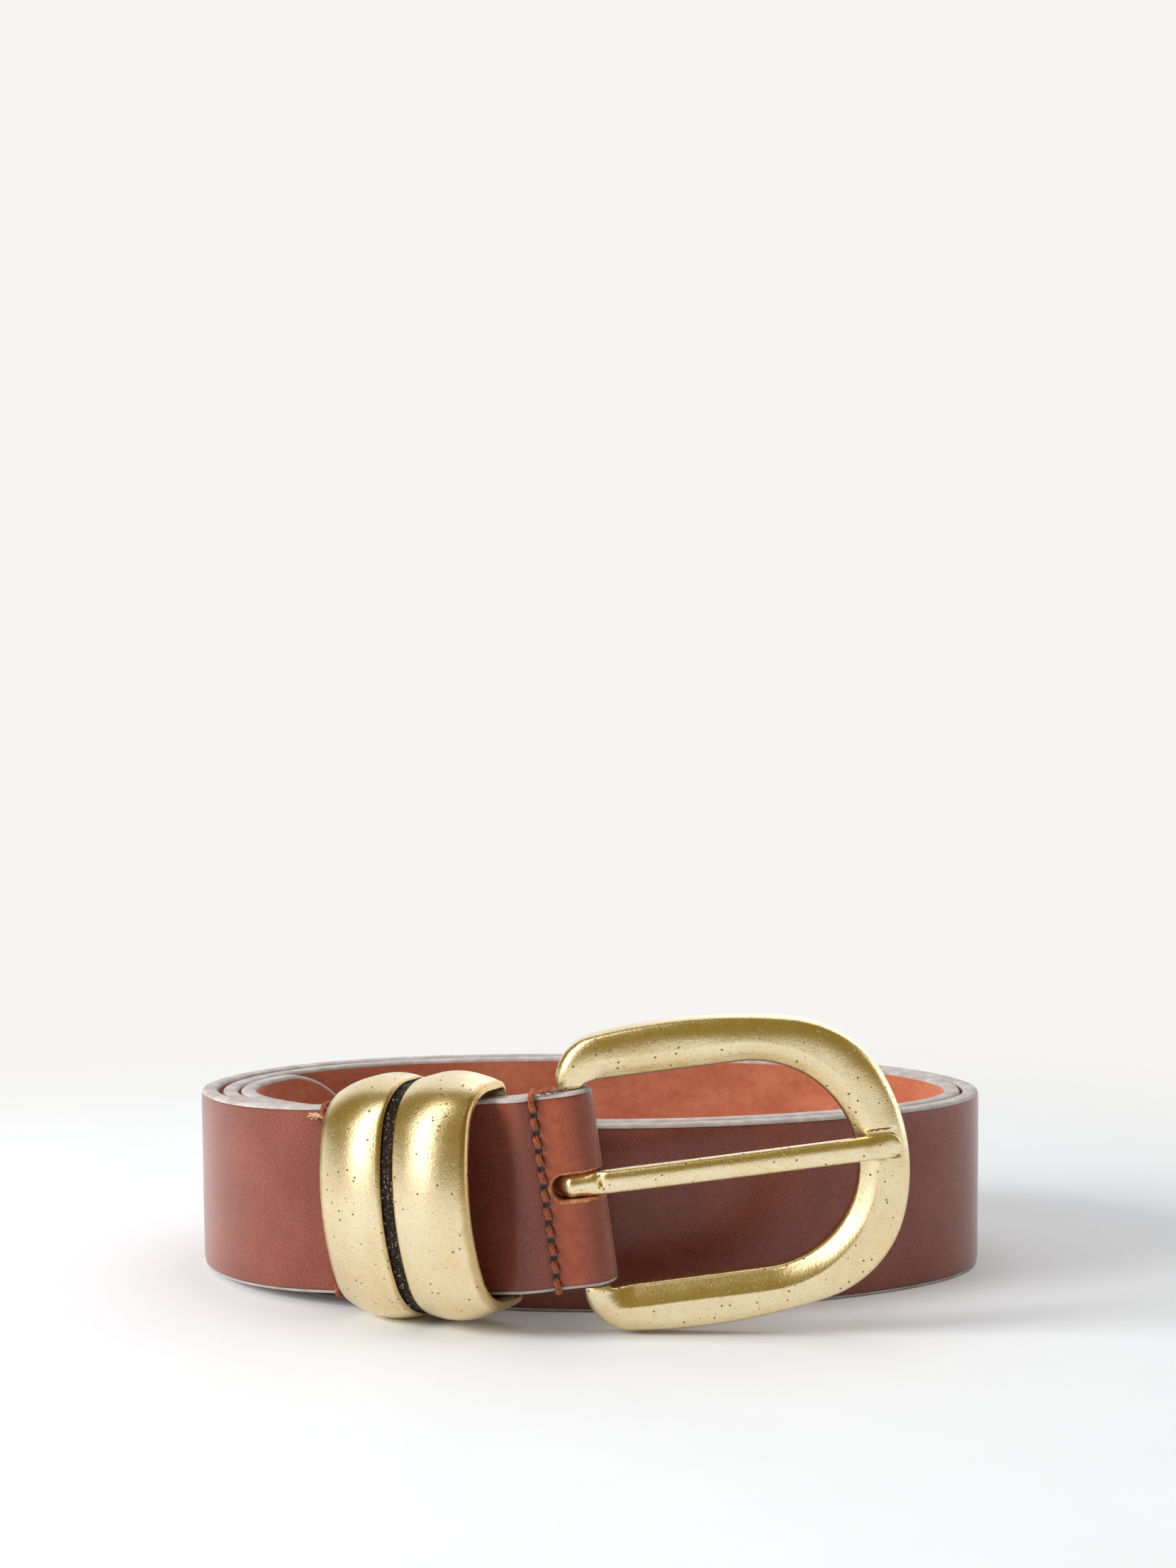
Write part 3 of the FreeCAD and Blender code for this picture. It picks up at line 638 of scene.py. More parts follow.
def row_line(reach):
    """One turn of the thread round both layers: a rectangle with rounded corners in the strap's
    section. On both faces it drops into each hole where the sine of the stitch pitch comes to nothing,
    and swerves from side to side between them. Returns points, normals, the strap's direction and the
    distance along the turn."""
    corner, along, outward, across = (each[0] for each in strap_frame(np.array([reach])))
    side = strap_width + 2 * thread_gap - 2 * thread_corner
    end = stack + 2 * thread_gap - 2 * thread_corner
    bend = np.pi / 2 * thread_corner
    stops = np.cumsum([0.0, side, bend, end, bend, side, bend, end, bend])
    s = np.linspace(0, stops[-1], thread_samples, endpoint=False)
    turn = np.interp(s, stops, np.array([0, 0, 1, 1, 2, 2, 3, 3, 4]) * np.pi / 2)
    inset = thread_corner - thread_gap
    rise = np.interp(s, stops, [0, side, side, side, side, 0, 0, 0, 0])
    out = np.interp(s, stops, [0, 0, 0, -end, -end, -end, -end, 0, 0])
    rise = rise + inset + thread_corner * np.sin(turn)
    out = out - inset + thread_corner * np.cos(turn)
    inside = smooth((rise - row_end) / 0.5) * smooth((strap_width - row_end - rise) / 0.5)
    phase = (rise - first_stitch) / stitch_pitch * np.pi
    sunk = inside * (1 - smooth((np.abs(np.sin(phase)) - dip_hold) / dip_ease)) * thread_dip
    out = out - np.sign(np.cos(turn)) * sunk
    swerve = inside * thread_swerve * np.sin(2 * phase)
    centre = corner + across * rise[:, None] + outward * out[:, None] + along * swerve[:, None]
    normal = across * np.sin(turn)[:, None] + outward * np.cos(turn)[:, None]
    return centre, normal, np.broadcast_to(along, normal.shape), s


def make_row(name, node, reach, materials, loose_end):
    """A thread of strands laid round each other, each a helix about the row's line, and the fibres of
    its cut end: lines that run along the strap, rise by a sine and spread by the square of the way.
    loose_end is their length: towards the buckle from the top of the row, or where it is negative
    away from the buckle, from the front of the row and with the second material."""
    centre, normal, along, s = row_line(reach)
    line, out, side = (join(each, each[:1]) for each in (centre, normal, along))
    turns = round(s[-1] / strand_lay)
    angle = 2 * np.pi * (turns * np.arange(thread_samples + 1) / thread_samples
                         + np.arange(strand_count)[:, None] / strand_count)[..., None]
    points, faces = tubes(line + out * strand_out * np.sin(angle) + side * strand_side * np.cos(angle),
                          strand_radius, 6)
    step = np.linspace(0, 1, 12)[None, :, None]
    fibre = np.arange(fibre_count)[:, None, None]
    if loose_end > 0:
        start, away = centre[np.argmax(centre[:, 2])], normal[0]
    else:
        start, away = centre[np.argmax(s > fibre_start)], normal[np.argmax(s > strap_width / 2)]
    length = loose_end * (0.72 + 0.28 * np.cos(fibre * 1.7))
    rise = 0.55 * np.sin(step * 2.4) + 0.6 * np.sin(fibre * 2.1) * step ** 2
    stray = 0.3 * np.cos(fibre * 2.9) * (0.4 + step) + 0.3
    lines = start + along[0] * length * step + upright * rise + away * stray
    end_points, end_faces = tubes(lines, fibre_radius, 5)
    kinds = [0] * len(faces) + [1 if loose_end < 0 else 0] * len(end_faces)
    faces += [[corner + len(points) for corner in face] for face in end_faces]
    piece = new_piece(name, join(points, end_points), faces, materials, kinds=kinds)
    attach(piece, "strap_body")
    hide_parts(node)
    return piece


# ---------------------------------------------------------------- buckle frame

def outline_arcs():
    """Arcs of the frame's upper outer edge as (centre along, centre up, radius, start, end): heel
    corner, bowed arm, shoulder and half of the nose, each tangent to the next."""
    arm = np.array([widest_reach, frame_half - arm_radius])
    nose = np.array([frame_reach - nose_radius, 0.0])
    apart = np.linalg.norm(nose - arm)
    first = arm_radius - shoulder_radius
    second = nose_radius - shoulder_radius
    turn = math.acos((apart ** 2 + first ** 2 - second ** 2) / (2 * apart * first))
    angle = math.atan2(nose[1] - arm[1], nose[0] - arm[0]) - turn
    shoulder = arm + first * np.array([math.cos(angle), math.sin(angle)])
    corner_along = heel_corner - heel_overhang
    rise = math.sqrt((arm_radius - heel_corner) ** 2 - (corner_along - widest_reach) ** 2)
    corner = np.array([corner_along, arm[1] + rise])
    corner_end = math.atan2(corner[1] - arm[1], corner[0] - arm[0])
    arm_end = math.atan2(shoulder[1] - arm[1], shoulder[0] - arm[0])
    nose_start = math.atan2(shoulder[1], shoulder[0] - nose[0])
    return [(*corner, heel_corner, np.pi, corner_end), (*arm, arm_radius, corner_end, arm_end),
            (*shoulder, shoulder_radius, arm_end, nose_start), (*nose, nose_radius, nose_start, 0.0)]


arcs = outline_arcs()


def outer_distance(along, up):
    """Distance in from the frame's outer edge: radius less distance to the centre of the arc whose
    fan holds the point."""
    up = np.abs(up)
    nearest = np.full(np.shape(along), 1e3)
    for centre_along, centre_up, radius, start, end in arcs:
        angle = np.arctan2(up - centre_up, along - centre_along)
        held = (angle <= start + 0.03) & (angle >= end - 0.03)
        inwards = radius - np.hypot(along - centre_along, up - centre_up)
        nearest = np.where(held, np.minimum(nearest, inwards), nearest)
    return nearest


def inner_distance(along, up):
    """Distance out from the frame's inner edge, two straight arms and a half circle."""
    centre = frame_reach - end_band - arm_inside
    return np.hypot(np.maximum(along - centre, 0.0), up) - arm_inside


def outer_point(along, up, aim_along, aim_up):
    """Where a ray from the inner edge meets the outer edge, by halving."""
    low, high = np.zeros_like(along), np.full_like(along, 14.0)
    for _ in range(30):
        middle = (low + high) / 2
        inside = outer_distance(along + aim_along * middle, up + aim_up * middle) > 0
        low, high = np.where(inside, middle, low), np.where(inside, high, middle)
    return along + aim_along * low, up + aim_up * low


def notch_share(along, up):
    """1 over the tongue's notch in the nose, eased to 0 across its walls."""
    side = up - tongue_shift
    beside = smooth((notch_half + notch_play - side) / 0.3)
    beside = beside * smooth((side + tongue_half + notch_play) / 0.3)
    return beside * smooth((notch_end + 0.1 - along) / 0.4) * smooth((along - notch_start) / 0.5)


def front_height(along, up):
    """Height of the frame's front. From the outer edge an arc and a power of the distance in, which
    domes it; from the inner edge a small quarter circle and a slope, shallower at the heels; the two
    rounded into each other, worn by two crossing sines, with the tongue's notch sunk into the nose."""
    outside = np.clip(outer_distance(along, up), 0.0, None)
    inside = np.clip(inner_distance(along, up), 0.0, None)
    shoulder = frame_front - outer_round * (1 - quarter(outside / outer_round))
    shoulder = shoulder - dome_drop * np.clip(1 - outside / dome_width, 0.0, 1.0) ** dome_power
    drop = inner_drop * (1 - heel_shallow * smooth((shallow_start - along) / 5.0))
    slope = frame_front - drop * (1 - np.clip(inside / inner_width, 0.0, 1.0))
    slope = slope - inner_lip * (1 - quarter(inside / inner_lip))
    wear = wear_depth * np.sin(along * 0.61 + up * 0.43) * np.sin(up * 0.37 - along * 0.29 + 1.0)
    height = soft_min(shoulder, slope, crest_blend) + wear * smooth(outside / 2) * smooth(inside / 2)
    height = height - wear_depth
    floor = frame_front - notch_depth
    return height + (np.minimum(height, floor) - height) * notch_share(along, up)


def back_height(along, up):
    """Height of the frame's back, its two edges rounded by a quarter circle."""
    edge = np.minimum(outer_distance(along, up), inner_distance(along, up))
    return frame_back + back_round * (1 - quarter(edge / back_round))


def make_frame(material):
    """The frame's section, from its inner edge over the front to its outer edge and back, carried
    from one heel round the nose to the other. Its rings are closest at the edges, by the cosine."""
    centre = frame_reach - end_band - arm_inside
    wave = np.linspace(0.06, np.pi / 2, 16)[:-1]
    heel_along = -heel_overhang + heel_corner * (1 - np.cos(wave))
    arm_along = join(heel_along, spread(heel_corner - heel_overhang, centre, 0.6))
    swing = join(spread(np.pi / 2, 0.32, 0.025), spread(0.32, -0.26, 0.009),
                 spread(-0.26, -np.pi / 2, 0.025))
    straight = np.ones_like(arm_along)
    aim_along = join(0 * straight, np.cos(swing), 0 * straight)
    aim_up = join(straight, np.sin(swing), -straight)
    inner_along = join(arm_along, centre + arm_inside * np.cos(swing), arm_along[::-1])
    inner_up = arm_inside * aim_up
    outer_along, outer_up = outer_point(inner_along, inner_up, aim_along, aim_up)
    rounding = 1 - np.cos(np.linspace(0, np.pi / 2, 13))
    edge = inner_share * rounding[:9] / rounding[8]
    over = join(edge, np.linspace(inner_share, 1 - outer_share, 20)[1:],
                (1 - outer_share * rounding[::-1])[1:])
    under = join(1 - edge, np.linspace(1 - inner_share, inner_share, 7)[1:], edge[::-1][1:])
    share = join(over, under)
    is_front = np.arange(len(share)) < len(over)
    along = inner_along[:, None] + (outer_along - inner_along)[:, None] * share
    up = inner_up[:, None] + (outer_up - inner_up)[:, None] * share
    height = np.where(is_front, front_height(along, up), back_height(along, up))
    foot = foot_stand * smooth((foot_length - along) / 1.2) * (1 - smooth(share / 0.12))
    piece = closed_piece("cast_frame", in_buckle(along, up - np.sign(up) * foot, height), material)
    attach(piece, "buckle")
    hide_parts("buckle_frame")
    return piece


# ---------------------------------------------------------------- tongue

def tongue_lines():
    """Stations along the tongue, and its top, underside and half width at each. The top is a superellipse
    over the eye, kept inside the circle of eye_sweep, then a rise to the crest and a fall to the tip,
    with a dimple behind the eye. The underside is half an ellipse under the bar, then the shank's."""
    heel = -eye_radius - tongue_heel
    tip_start = tongue_reach - tongue_tip_half
    wave = np.linspace(0.08, np.pi / 2, 16)[:-1]
    end = np.linspace(0, np.pi / 2 - 0.06, 14)
    along = join(heel + eye_curve * (1 - np.cos(wave)), spread(heel + eye_curve, 6.0, 0.22),
                 spread(6.0, 48.0, 0.8), spread(48.0, tip_start, 0.3),
                 tip_start + tongue_tip_half * np.sin(end))
    rounded = 1 - np.clip(along - heel, 0.0, eye_end) / eye_end
    eye_top = eye_crest * (1 - rounded ** eye_power) ** (1 / eye_power)
    eye_top = np.minimum(eye_top, np.sqrt(np.clip(eye_sweep ** 2 - along ** 2, 0.0, None)))
    rise = eye_crest + (tongue_crest - eye_crest) * np.sqrt(smooth(along / tongue_rise))
    rise = rise - tip_drop * smooth((along - 50.0) / (tongue_reach - 50.0)) ** 1.6
    start = smooth((along + 0.6) / 3.2)
    top = eye_top * (1 - start) + rise * start - dimple_depth * bell(along - dimple_place, dimple_width)
    oval = np.sqrt(np.clip(1 - ((along - (heel + eye_curve)) / eye_curve) ** 2, 0.0, 1.0))
    shank = np.interp(along, [0, 10, tongue_rise, notch_start, tongue_reach],
                      [shank_under, neck_under, tongue_crest - tongue_thickness, tongue_rest, tongue_rest])
    after_eye = smooth((along - 2.6) / 0.9)
    under = np.minimum(shank * after_eye - eye_radius * oval * (1 - after_eye), top - 0.25)
    half = np.minimum(tongue_half * np.sqrt(1 - rounded ** 2),
                      np.interp(along, [0, tongue_reach], [tongue_half, tongue_tip_half]))
    past = np.clip((along - tip_start) / tongue_tip_half, 0.0, 1.0)
    return [each[:, None] for each in (along, start, top, under, half * np.sqrt(1 - past ** 2))]


def make_tongue(material):
    """The tongue's section, two half superellipses, domed above and nearly flat below, carried from the
    heel of its eye to its tip, with a nick of two bells in its top."""
    along, start, top, under, half = tongue_lines()
    turn = np.linspace(0, 2 * np.pi, 44, endpoint=False)
    cosine, sine = np.cos(turn), np.sin(turn)
    above = 2.1 + 0.3 * smooth((along - 2.0) / 3.0)
    below = 2.7 + 1.9 * smooth((along - 3.0) / 3.0)
    fullness = 2 / np.where(sine >= 0, above, below)
    wide = np.sign(cosine) * np.abs(cosine) ** fullness
    tall = np.sign(sine) * np.abs(sine) ** fullness
    middle = np.maximum(under + (top - under) * belly, top - 2.0 + 0.5 * start)
    out = middle + np.where(tall >= 0, top - middle, middle - under) * tall
    nick = bell(along - nick_place, nick_length) * bell(half * wide, nick_width)
    out = out - nick_depth * nick * (tall > 0)
    piece = closed_piece("cast_tongue", in_buckle(along, tongue_shift - half * wide, out), material)
    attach(piece, "tongue")
    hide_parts("tongue")
    return piece


# ---------------------------------------------------------------- keeper

def dome(x, first, crown, last):
    """Height of the circle through three points (x, height)."""
    (x1, y1), (x2, y2), (x3, y3) = first, crown, last
    twice = 2 * (x1 * (y2 - y3) + x2 * (y3 - y1) + x3 * (y1 - y2))
    squares = [x1 * x1 + y1 * y1, x2 * x2 + y2 * y2, x3 * x3 + y3 * y3]
    centre_x = (squares[0] * (y2 - y3) + squares[1] * (y3 - y1) + squares[2] * (y1 - y2)) / twice
    centre_y = (squares[0] * (x3 - x2) + squares[1] * (x1 - x3) + squares[2] * (x2 - x1)) / twice
    radius = math.hypot(x1 - centre_x, y1 - centre_y)
    return centre_y + np.sqrt(np.clip(radius ** 2 - (x - centre_x) ** 2, 0.0, None))


def keeper_profile():
    """The wall from rim to rim as places along the strap, wall heights on the front and on the back:
    rounded rims, two domed bands, the groove between them, then the plain inside."""
    wide, groove = keeper_width / 2, keeper_groove / 2
    turn = np.linspace(0, np.pi / 2, 6)[:-1]
    rim_x = -wide + keeper_lip * (1 - np.cos(turn))
    band_x = np.linspace(-wide + keeper_lip, -groove - 0.3, 22)
    band = dome(band_x, (-wide, keeper_rim), (-(wide + groove) / 2, keeper_crown),
                (-groove, keeper_groove_edge))
    edge = [keeper_groove_edge - 0.05, keeper_groove_edge - 0.28]
    floor = [keeper_groove_wall + 0.04, keeper_groove_wall, keeper_groove_wall]
    left_x = join([-wide], rim_x, band_x, [-groove - 0.1, -groove], [-groove + 0.12, -groove * 0.5, 0.0])
    front = join([keeper_edge], keeper_edge + (band[0] - keeper_edge) * np.sin(turn), band, edge, floor)
    back = join([keeper_edge], keeper_edge + (keeper_back - keeper_edge) * np.sin(turn),
                np.full(len(band) + len(edge) + len(floor), keeper_back))
    inside_x = np.linspace(wide - keeper_edge, -wide + keeper_edge, inside_steps)
    front, back = (join(wall, wall[-2::-1], 0 * inside_x) for wall in (front, back))
    return join(left_x, -left_x[-2::-1], inside_x), front, back


def keeper_loop():
    """The inside of the keeper seen along the strap: points (up, out), outward normals and travel. Half
    of it is a flat back, a small corner, a side, a large corner and half of the bowed front, each arc
    given by its radius and centre; the other half is its mirror image."""
    half, corner, back_corner = keeper_half, keeper_corner, keeper_back_corner
    back, front_inside = keeper_back_inside, keeper_back_inside + keeper_depth - keeper_bow
    straight = half - corner
    bow_radius = ((corner + keeper_bow) ** 2 + straight ** 2 - corner ** 2) / (2 * keeper_bow)
    bow = math.asin(straight / (bow_radius - corner))
    flat = np.linspace(0.0, half - back_corner, 16)[:-1]
    turn = np.linspace(-np.pi / 2, 0.0, 8)[:-1]
    side = np.linspace(back + back_corner, front_inside - corner, 12)[:-1]
    corner_turn = np.linspace(0.0, np.pi / 2 - bow, 26)[:-1]
    bow_turn = np.linspace(np.pi / 2 - bow, np.pi / 2, 44)
    up = join(flat, half - back_corner + back_corner * np.cos(turn), 0 * side + half,
              straight + corner * np.cos(corner_turn), bow_radius * np.cos(bow_turn))
    out = join(0 * flat + back, back + back_corner + back_corner * np.sin(turn), side,
               front_inside - corner + corner * np.sin(corner_turn),
               front_inside + keeper_bow - bow_radius + bow_radius * np.sin(bow_turn))
    angle = join(0 * flat - np.pi / 2, turn, 0 * side, corner_turn, bow_turn)
    up = join(up, -up[-2:0:-1])
    out = join(out, out[-2:0:-1])
    angle = join(angle, np.pi - angle[-2:0:-1])
    place = np.stack([up, out], -1)
    normal = np.stack([np.cos(angle), np.sin(angle)], -1)
    travel = np.cumsum(np.linalg.norm(place - np.roll(place, 1, axis=0), axis=1))
    return place, normal, travel


def make_keeper(materials):
    """Keeper: at each place round the loop the wall's profile stands out along the normal. The domes
    round off into the plain back by a quarter circle of the distance from it."""
    place, normal, travel = keeper_loop()
    x, domed, plain = keeper_profile()
    full = quarter((place[:, 1:] - keeper_back_inside) / keeper_fade)
    wall = plain + (domed - plain) * full
    section = place[:, None] + normal[:, None] * wall[..., None]
    middle, yaw = (each[0] for each in at(np.array([keeper_start + keeper_width / 2])))
    yaw = yaw + math.radians(keeper_turn)
    along, across = tipped(yaw, math.radians(keeper_tilt))
    points = (middle * [1, 1, 0] + along * x[None, :, None] + across * section[..., :1]
              + facing(yaw) * (section[..., 1:] - keeper_inset))
    points[..., 2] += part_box("keeper")[0][2] / mm - points[..., 2].min() + keeper_lift
    rows, columns = wall.shape
    faces = grid_quads(rows, columns, closed_rows=True)
    groove = (np.abs(x) <= keeper_groove / 2 + 0.02) & (np.arange(columns) < columns - inside_steps)
    kinds = ((groove & np.roll(groove, -1))[None, :] & (full > 0.5)).astype(int)
    uv = np.stack([np.broadcast_to(travel[:, None], wall.shape), np.broadcast_to(x, wall.shape)], -1)
    piece = new_piece("cast_keeper", points.reshape(-1, 3), faces.reshape(-1, 4).tolist(), materials,
                      uv.reshape(-1, 2) * mm, kinds.ravel(), sharp=50.0)
    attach(piece, "keeper")
    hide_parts("keeper")
    return piece


# ---------------------------------------------------------------- shading

def tone(red, green, blue):
    """A screen colour, 0 to 255, as the shader's linear one."""
    levels = np.array([red, green, blue]) / 255
    linear = np.where(levels <= 0.04045, levels / 12.92, ((levels + 0.055) / 1.055) ** 2.4)
    return (*linear.tolist(), 1.0)


def operator(operation, swapped=False):
    """A method that puts one Math node between a socket and another value, in that order or swapped."""
    def act(socket, other):
        pair = (other, socket) if swapped else (socket, other)
        return socket.paint.maths(operation, *pair)
    return act


class Socket:
    """An output of a shader node that takes part in arithmetic."""

    def __init__(self, paint, output):
        self.paint = paint
        self.output = output

    def beside(self, name):
        """Another output of the same node."""
        return Socket(self.paint, self.output.node.outputs[name])

    __add__, __radd__ = operator("ADD"), operator("ADD", True)
    __sub__, __rsub__ = operator("SUBTRACT"), operator("SUBTRACT", True)
    __mul__, __rmul__ = operator("MULTIPLY"), operator("MULTIPLY", True)
    __truediv__ = operator("DIVIDE")


class Paint:
    """Builds the nodes of one material or of the world."""

    def __init__(self, owner):
        owner.use_nodes = True
        self.owner = owner
        self.tree = owner.node_tree
        self.tree.nodes.clear()

    def node(self, kind, settings=None, inputs=None, output=0):
        """Adds a node: its settings first, then the values or links of its sockets."""
        made = self.tree.nodes.new(kind)
        for name, value in (settings or {}).items():
            setattr(made, name, value)
        for name, value in (inputs or {}).items():
            if isinstance(value, Socket):
                self.tree.links.new(value.output, made.inputs[name])
            else:
                made.inputs[name].default_value = value
        return Socket(self, made.outputs[output]) if len(made.outputs) else None

    def maths(self, operation, *values):
        """One Math node on numbers."""
        return self.node("ShaderNodeMath", {"operation": operation}, dict(enumerate(values)))

    def vectors(self, operation, *values, output=0):
        """One Vector Math node on vectors."""
        return self.node("ShaderNodeVectorMath", {"operation": operation}, dict(enumerate(values)), output)

    def place(self, kind="Object"):
        """Where a point lies, in metres on a piece."""
        return self.node("ShaderNodeTexCoord", output=kind)

    def unwrapped(self):
        """The piece's own surface map, in metres along and across it."""
        return self.node("ShaderNodeUVMap", {"uv_map": "surface"})

    def parts(self, vector):
        """First number of a vector; the others lie beside it."""
        return self.node("ShaderNodeSeparateXYZ", None, {0: vector})

    def noise(self, vector, scale, detail=4.0, roughness=0.5, output=0):
        """Cloudy noise, scale of its waves to a metre."""
        inputs = {"Vector": vector, "Scale": scale, "Detail": detail, "Roughness": roughness}
        return self.node("ShaderNodeTexNoise", None, inputs, output)

    def streaks(self, vector, stretch, scale, detail, roughness=0.5):
        """Noise drawn out along the directions where stretch is small."""
        return self.noise(self.vectors("MULTIPLY", vector, stretch), scale, detail, roughness)

    def cells(self, vector, scale, output="Distance"):
        """Distance from the nearest of scattered points, scale of them to a metre, or its own colour."""
        return self.node("ShaderNodeTexVoronoi", None, {"Vector": vector, "Scale": scale}, output)

    def ramp(self, value, low, high):
        """Ease of a value from 0 at low to 1 at high."""
        return self.node("ShaderNodeMapRange", {"interpolation_type": "SMOOTHSTEP"},
                         {"Value": value, "From Min": low, "From Max": high})

    def mix(self, share, first, second):
        """Mixes two colours."""
        return self.node("ShaderNodeMix", {"data_type": "RGBA"}, {0: share, 6: first, 7: second}, 2)

    def coats(self, colour, *coats):
        """A colour under coats, each a pair of how much of it shows and its colour."""
        for share, over in coats:
            colour = self.mix(share, colour, over)
        return colour

    def bump(self, height, distance):
        """A bump whose height of 1 stands distance millimetres."""
        inputs = {"Height": height, "Distance": distance * mm, "Strength": 1.0}
        return self.node("ShaderNodeBump", None, inputs)

    def surface(self, colour, roughness, normal, **steady):
        """Finishes a material, its steady values set on the shader's own sockets."""
        inputs = {"Base Color": colour, "Roughness": roughness, "Normal": normal}
        inputs.update({name.replace("_", " "): value for name, value in steady.items()})
        shader = self.node("ShaderNodeBsdfPrincipled", None, inputs)
        self.node("ShaderNodeOutputMaterial", None, {"Surface": shader})
        return self.owner


def material_paint(name):
    """Paint for a new material."""
    return Paint(bpy.data.materials.new(name))


def stitch_holes(paint, travel, across):
    """1 in the awl holes of the stitch rows, 0 elsewhere, by the squares of the distances from the row and
    from the hole in halves of an oval; and the distance from the nearest row."""
    apart = paint.maths("ABSOLUTE", travel - rows_of_holes[0] * mm)
    for row in rows_of_holes[1:]:
        apart = paint.maths("MINIMUM", apart, paint.maths("ABSOLUTE", travel - row * mm))
    step = paint.maths("PINGPONG", across - first_stitch * mm, stitch_pitch / 2 * mm)
    along, aside = apart / (awl_along * mm), step / (awl_across * mm)
    away = along * along + aside * aside
    inside = paint.ramp(across, 0.9 * mm, 1.1 * mm)
    inside = inside * paint.ramp(across, (strap_width - 0.8) * mm, (strap_width - 1.0) * mm)
    return paint.ramp(away, 1.30, 0.85) * inside, apart


def edge_distance(paint, across):
    """Distance from the strap's nearer edge."""
    return paint.maths("MINIMUM", across, strap_width * mm - across)


def grain_leather():
    """Waxed cognac grain: cloudy colour, a fine pebble, pulled lighter round the bar, painted shade from
    just before the half turn round the bar onwards, its painted edge drawn a little way onto the face, and
    awl holes painted near-black as painted shade."""
    paint = material_paint("waxed_grain_leather")
    uv = paint.unwrapped()
    travel = paint.parts(uv)
    across = travel.beside(1)
    cloud = paint.noise(uv, 70.0, 3.0)
    patch = paint.noise(uv, 420.0, 5.0, 0.6)
    fine = paint.noise(uv, 3200.0, 3.0, 0.6)
    stray = paint.noise(uv, 1500.0, 2.0, output="Color")
    pebble = paint.cells(paint.vectors("MULTIPLY_ADD", stray, (0.35 * mm, 0.35 * mm, 0.0), uv), 2300.0)
    near_bar = paint.ramp(travel, -5.2 * mm, -2.5 * mm)
    pulled = paint.ramp(travel, -6.8 * mm, -5.8 * mm) * paint.ramp(travel, 10.0 * mm, 6.0 * mm)
    pulled = pulled * (0.75 + 0.25 * near_bar)
    edge = edge_distance(paint, across) + (patch - 0.5) * (0.5 * mm)
    painted = paint.ramp(edge, 0.62 * mm, 0.40 * mm)
    holes, row = stitch_holes(paint, travel, across)
    colour = paint.coats(
        tone(132, 64, 45), (paint.ramp(cloud, 0.3, 0.7), tone(147, 75, 54)),
        (paint.ramp(patch, 0.45, 0.75) * 0.14, tone(122, 58, 44)),
        (paint.ramp(pebble, 0.36, 0.62) * 0.38, tone(92, 38, 28)),
        (pulled * 0.8, paint.mix(paint.ramp(patch, 0.3, 0.7), tone(160, 68, 35), tone(184, 88, 48))),
        # painted shade: darker from just before the half turn round the bar onwards, for the fold's shaded
        # side
        (paint.ramp(travel, -3.5 * mm, 1.2 * mm) * 0.45, tone(100, 48, 34)),
        (paint.ramp(edge, 1.05 * mm, 0.7 * mm) * 0.7, tone(78, 46, 42)),
        (painted, tone(150, 136, 130)),
        # painted shade: the awl holes near-black, standing in for the shade inside them
        (paint.ramp(row, 1.1 * mm, 0.4 * mm) * 0.35, tone(96, 44, 34)), (holes, tone(18, 10, 9)),
        (paint.ramp(fine, 0.62, 0.75) * 0.18, tone(196, 140, 120)))
    lines = paint.streaks(uv, (1.0, 0.12, 1.0), 1500.0, 3.0, 0.6)
    creases = paint.ramp(lines, 0.45, 0.72) * paint.ramp(travel, -20.0 * mm, -7.0 * mm) * 0.8
    height = fine * 0.35 + patch * 0.8 - paint.ramp(pebble, 0.25, 0.6) * 0.9 - creases * 0.5 - holes * 6.0
    roughness = 0.42 + patch * 0.16 + paint.ramp(pebble, 0.1, 0.5) * 0.05 + painted * 0.1
    return paint.surface(colour, roughness, paint.bump(height, 0.06), Specular_IOR_Level=0.16,
                         Coat_Weight=1.0, Coat_Roughness=0.29, Coat_IOR=1.4, Sheen_Weight=0.25,
                         Sheen_Roughness=0.4)


def flesh_leather():
    """Bare flesh side: warm tan with long soft blotches, cut fibres and a nap of short strokes."""
    paint = material_paint("bare_flesh_leather")
    uv = paint.unwrapped()
    edge = edge_distance(paint, paint.parts(uv).beside(1))
    cloud = paint.streaks(uv, (0.7, 1.3, 1.0), 95.0, 5.0, 0.6)
    blotch = paint.noise(uv, 620.0, 4.0, 0.65)
    nap = paint.streaks(uv, (1.0, 0.45, 1.0), 3400.0, 3.0, 0.7)
    colour = paint.coats(
        tone(182, 100, 70), (paint.ramp(cloud, 0.32, 0.68), tone(202, 122, 90)),
        (paint.ramp(blotch, 0.50, 0.72) * 0.30, tone(208, 138, 106)),
        (paint.ramp(blotch, 0.50, 0.34) * 0.25, tone(150, 78, 56)),
        (paint.ramp(nap, 0.58, 0.75) * 0.25, tone(218, 158, 128)),
        (paint.ramp(edge, 0.8 * mm, 0.5 * mm), tone(170, 158, 150)))
    return paint.surface(colour, 0.72 + nap * 0.2, paint.bump(nap * 0.7 + blotch * 0.9, 0.08),
                         Specular_IOR_Level=0.25, Sheen_Weight=0.25, Sheen_Roughness=0.5)


def edge_paint():
    """Pale edge paint, with rubs down to the leather and small dark chips."""
    paint = material_paint("painted_edge")
    place = paint.place()
    rub = paint.noise(place, 260.0, 4.0, 0.6)
    fine = paint.noise(place, 2600.0, 3.0)
    colour = paint.coats(
        tone(176, 163, 157), (paint.ramp(rub, 0.35, 0.7), tone(202, 195, 191)),
        (paint.ramp(fine, 0.60, 0.72) * 0.3, tone(128, 100, 92)),
        (paint.ramp(rub, 0.70, 0.80) * 0.6, tone(140, 92, 72)))
    return paint.surface(colour, 0.46 + fine * 0.2, paint.bump(rub * 0.8 + fine * 0.5, 0.06),
                         Specular_IOR_Level=0.35)


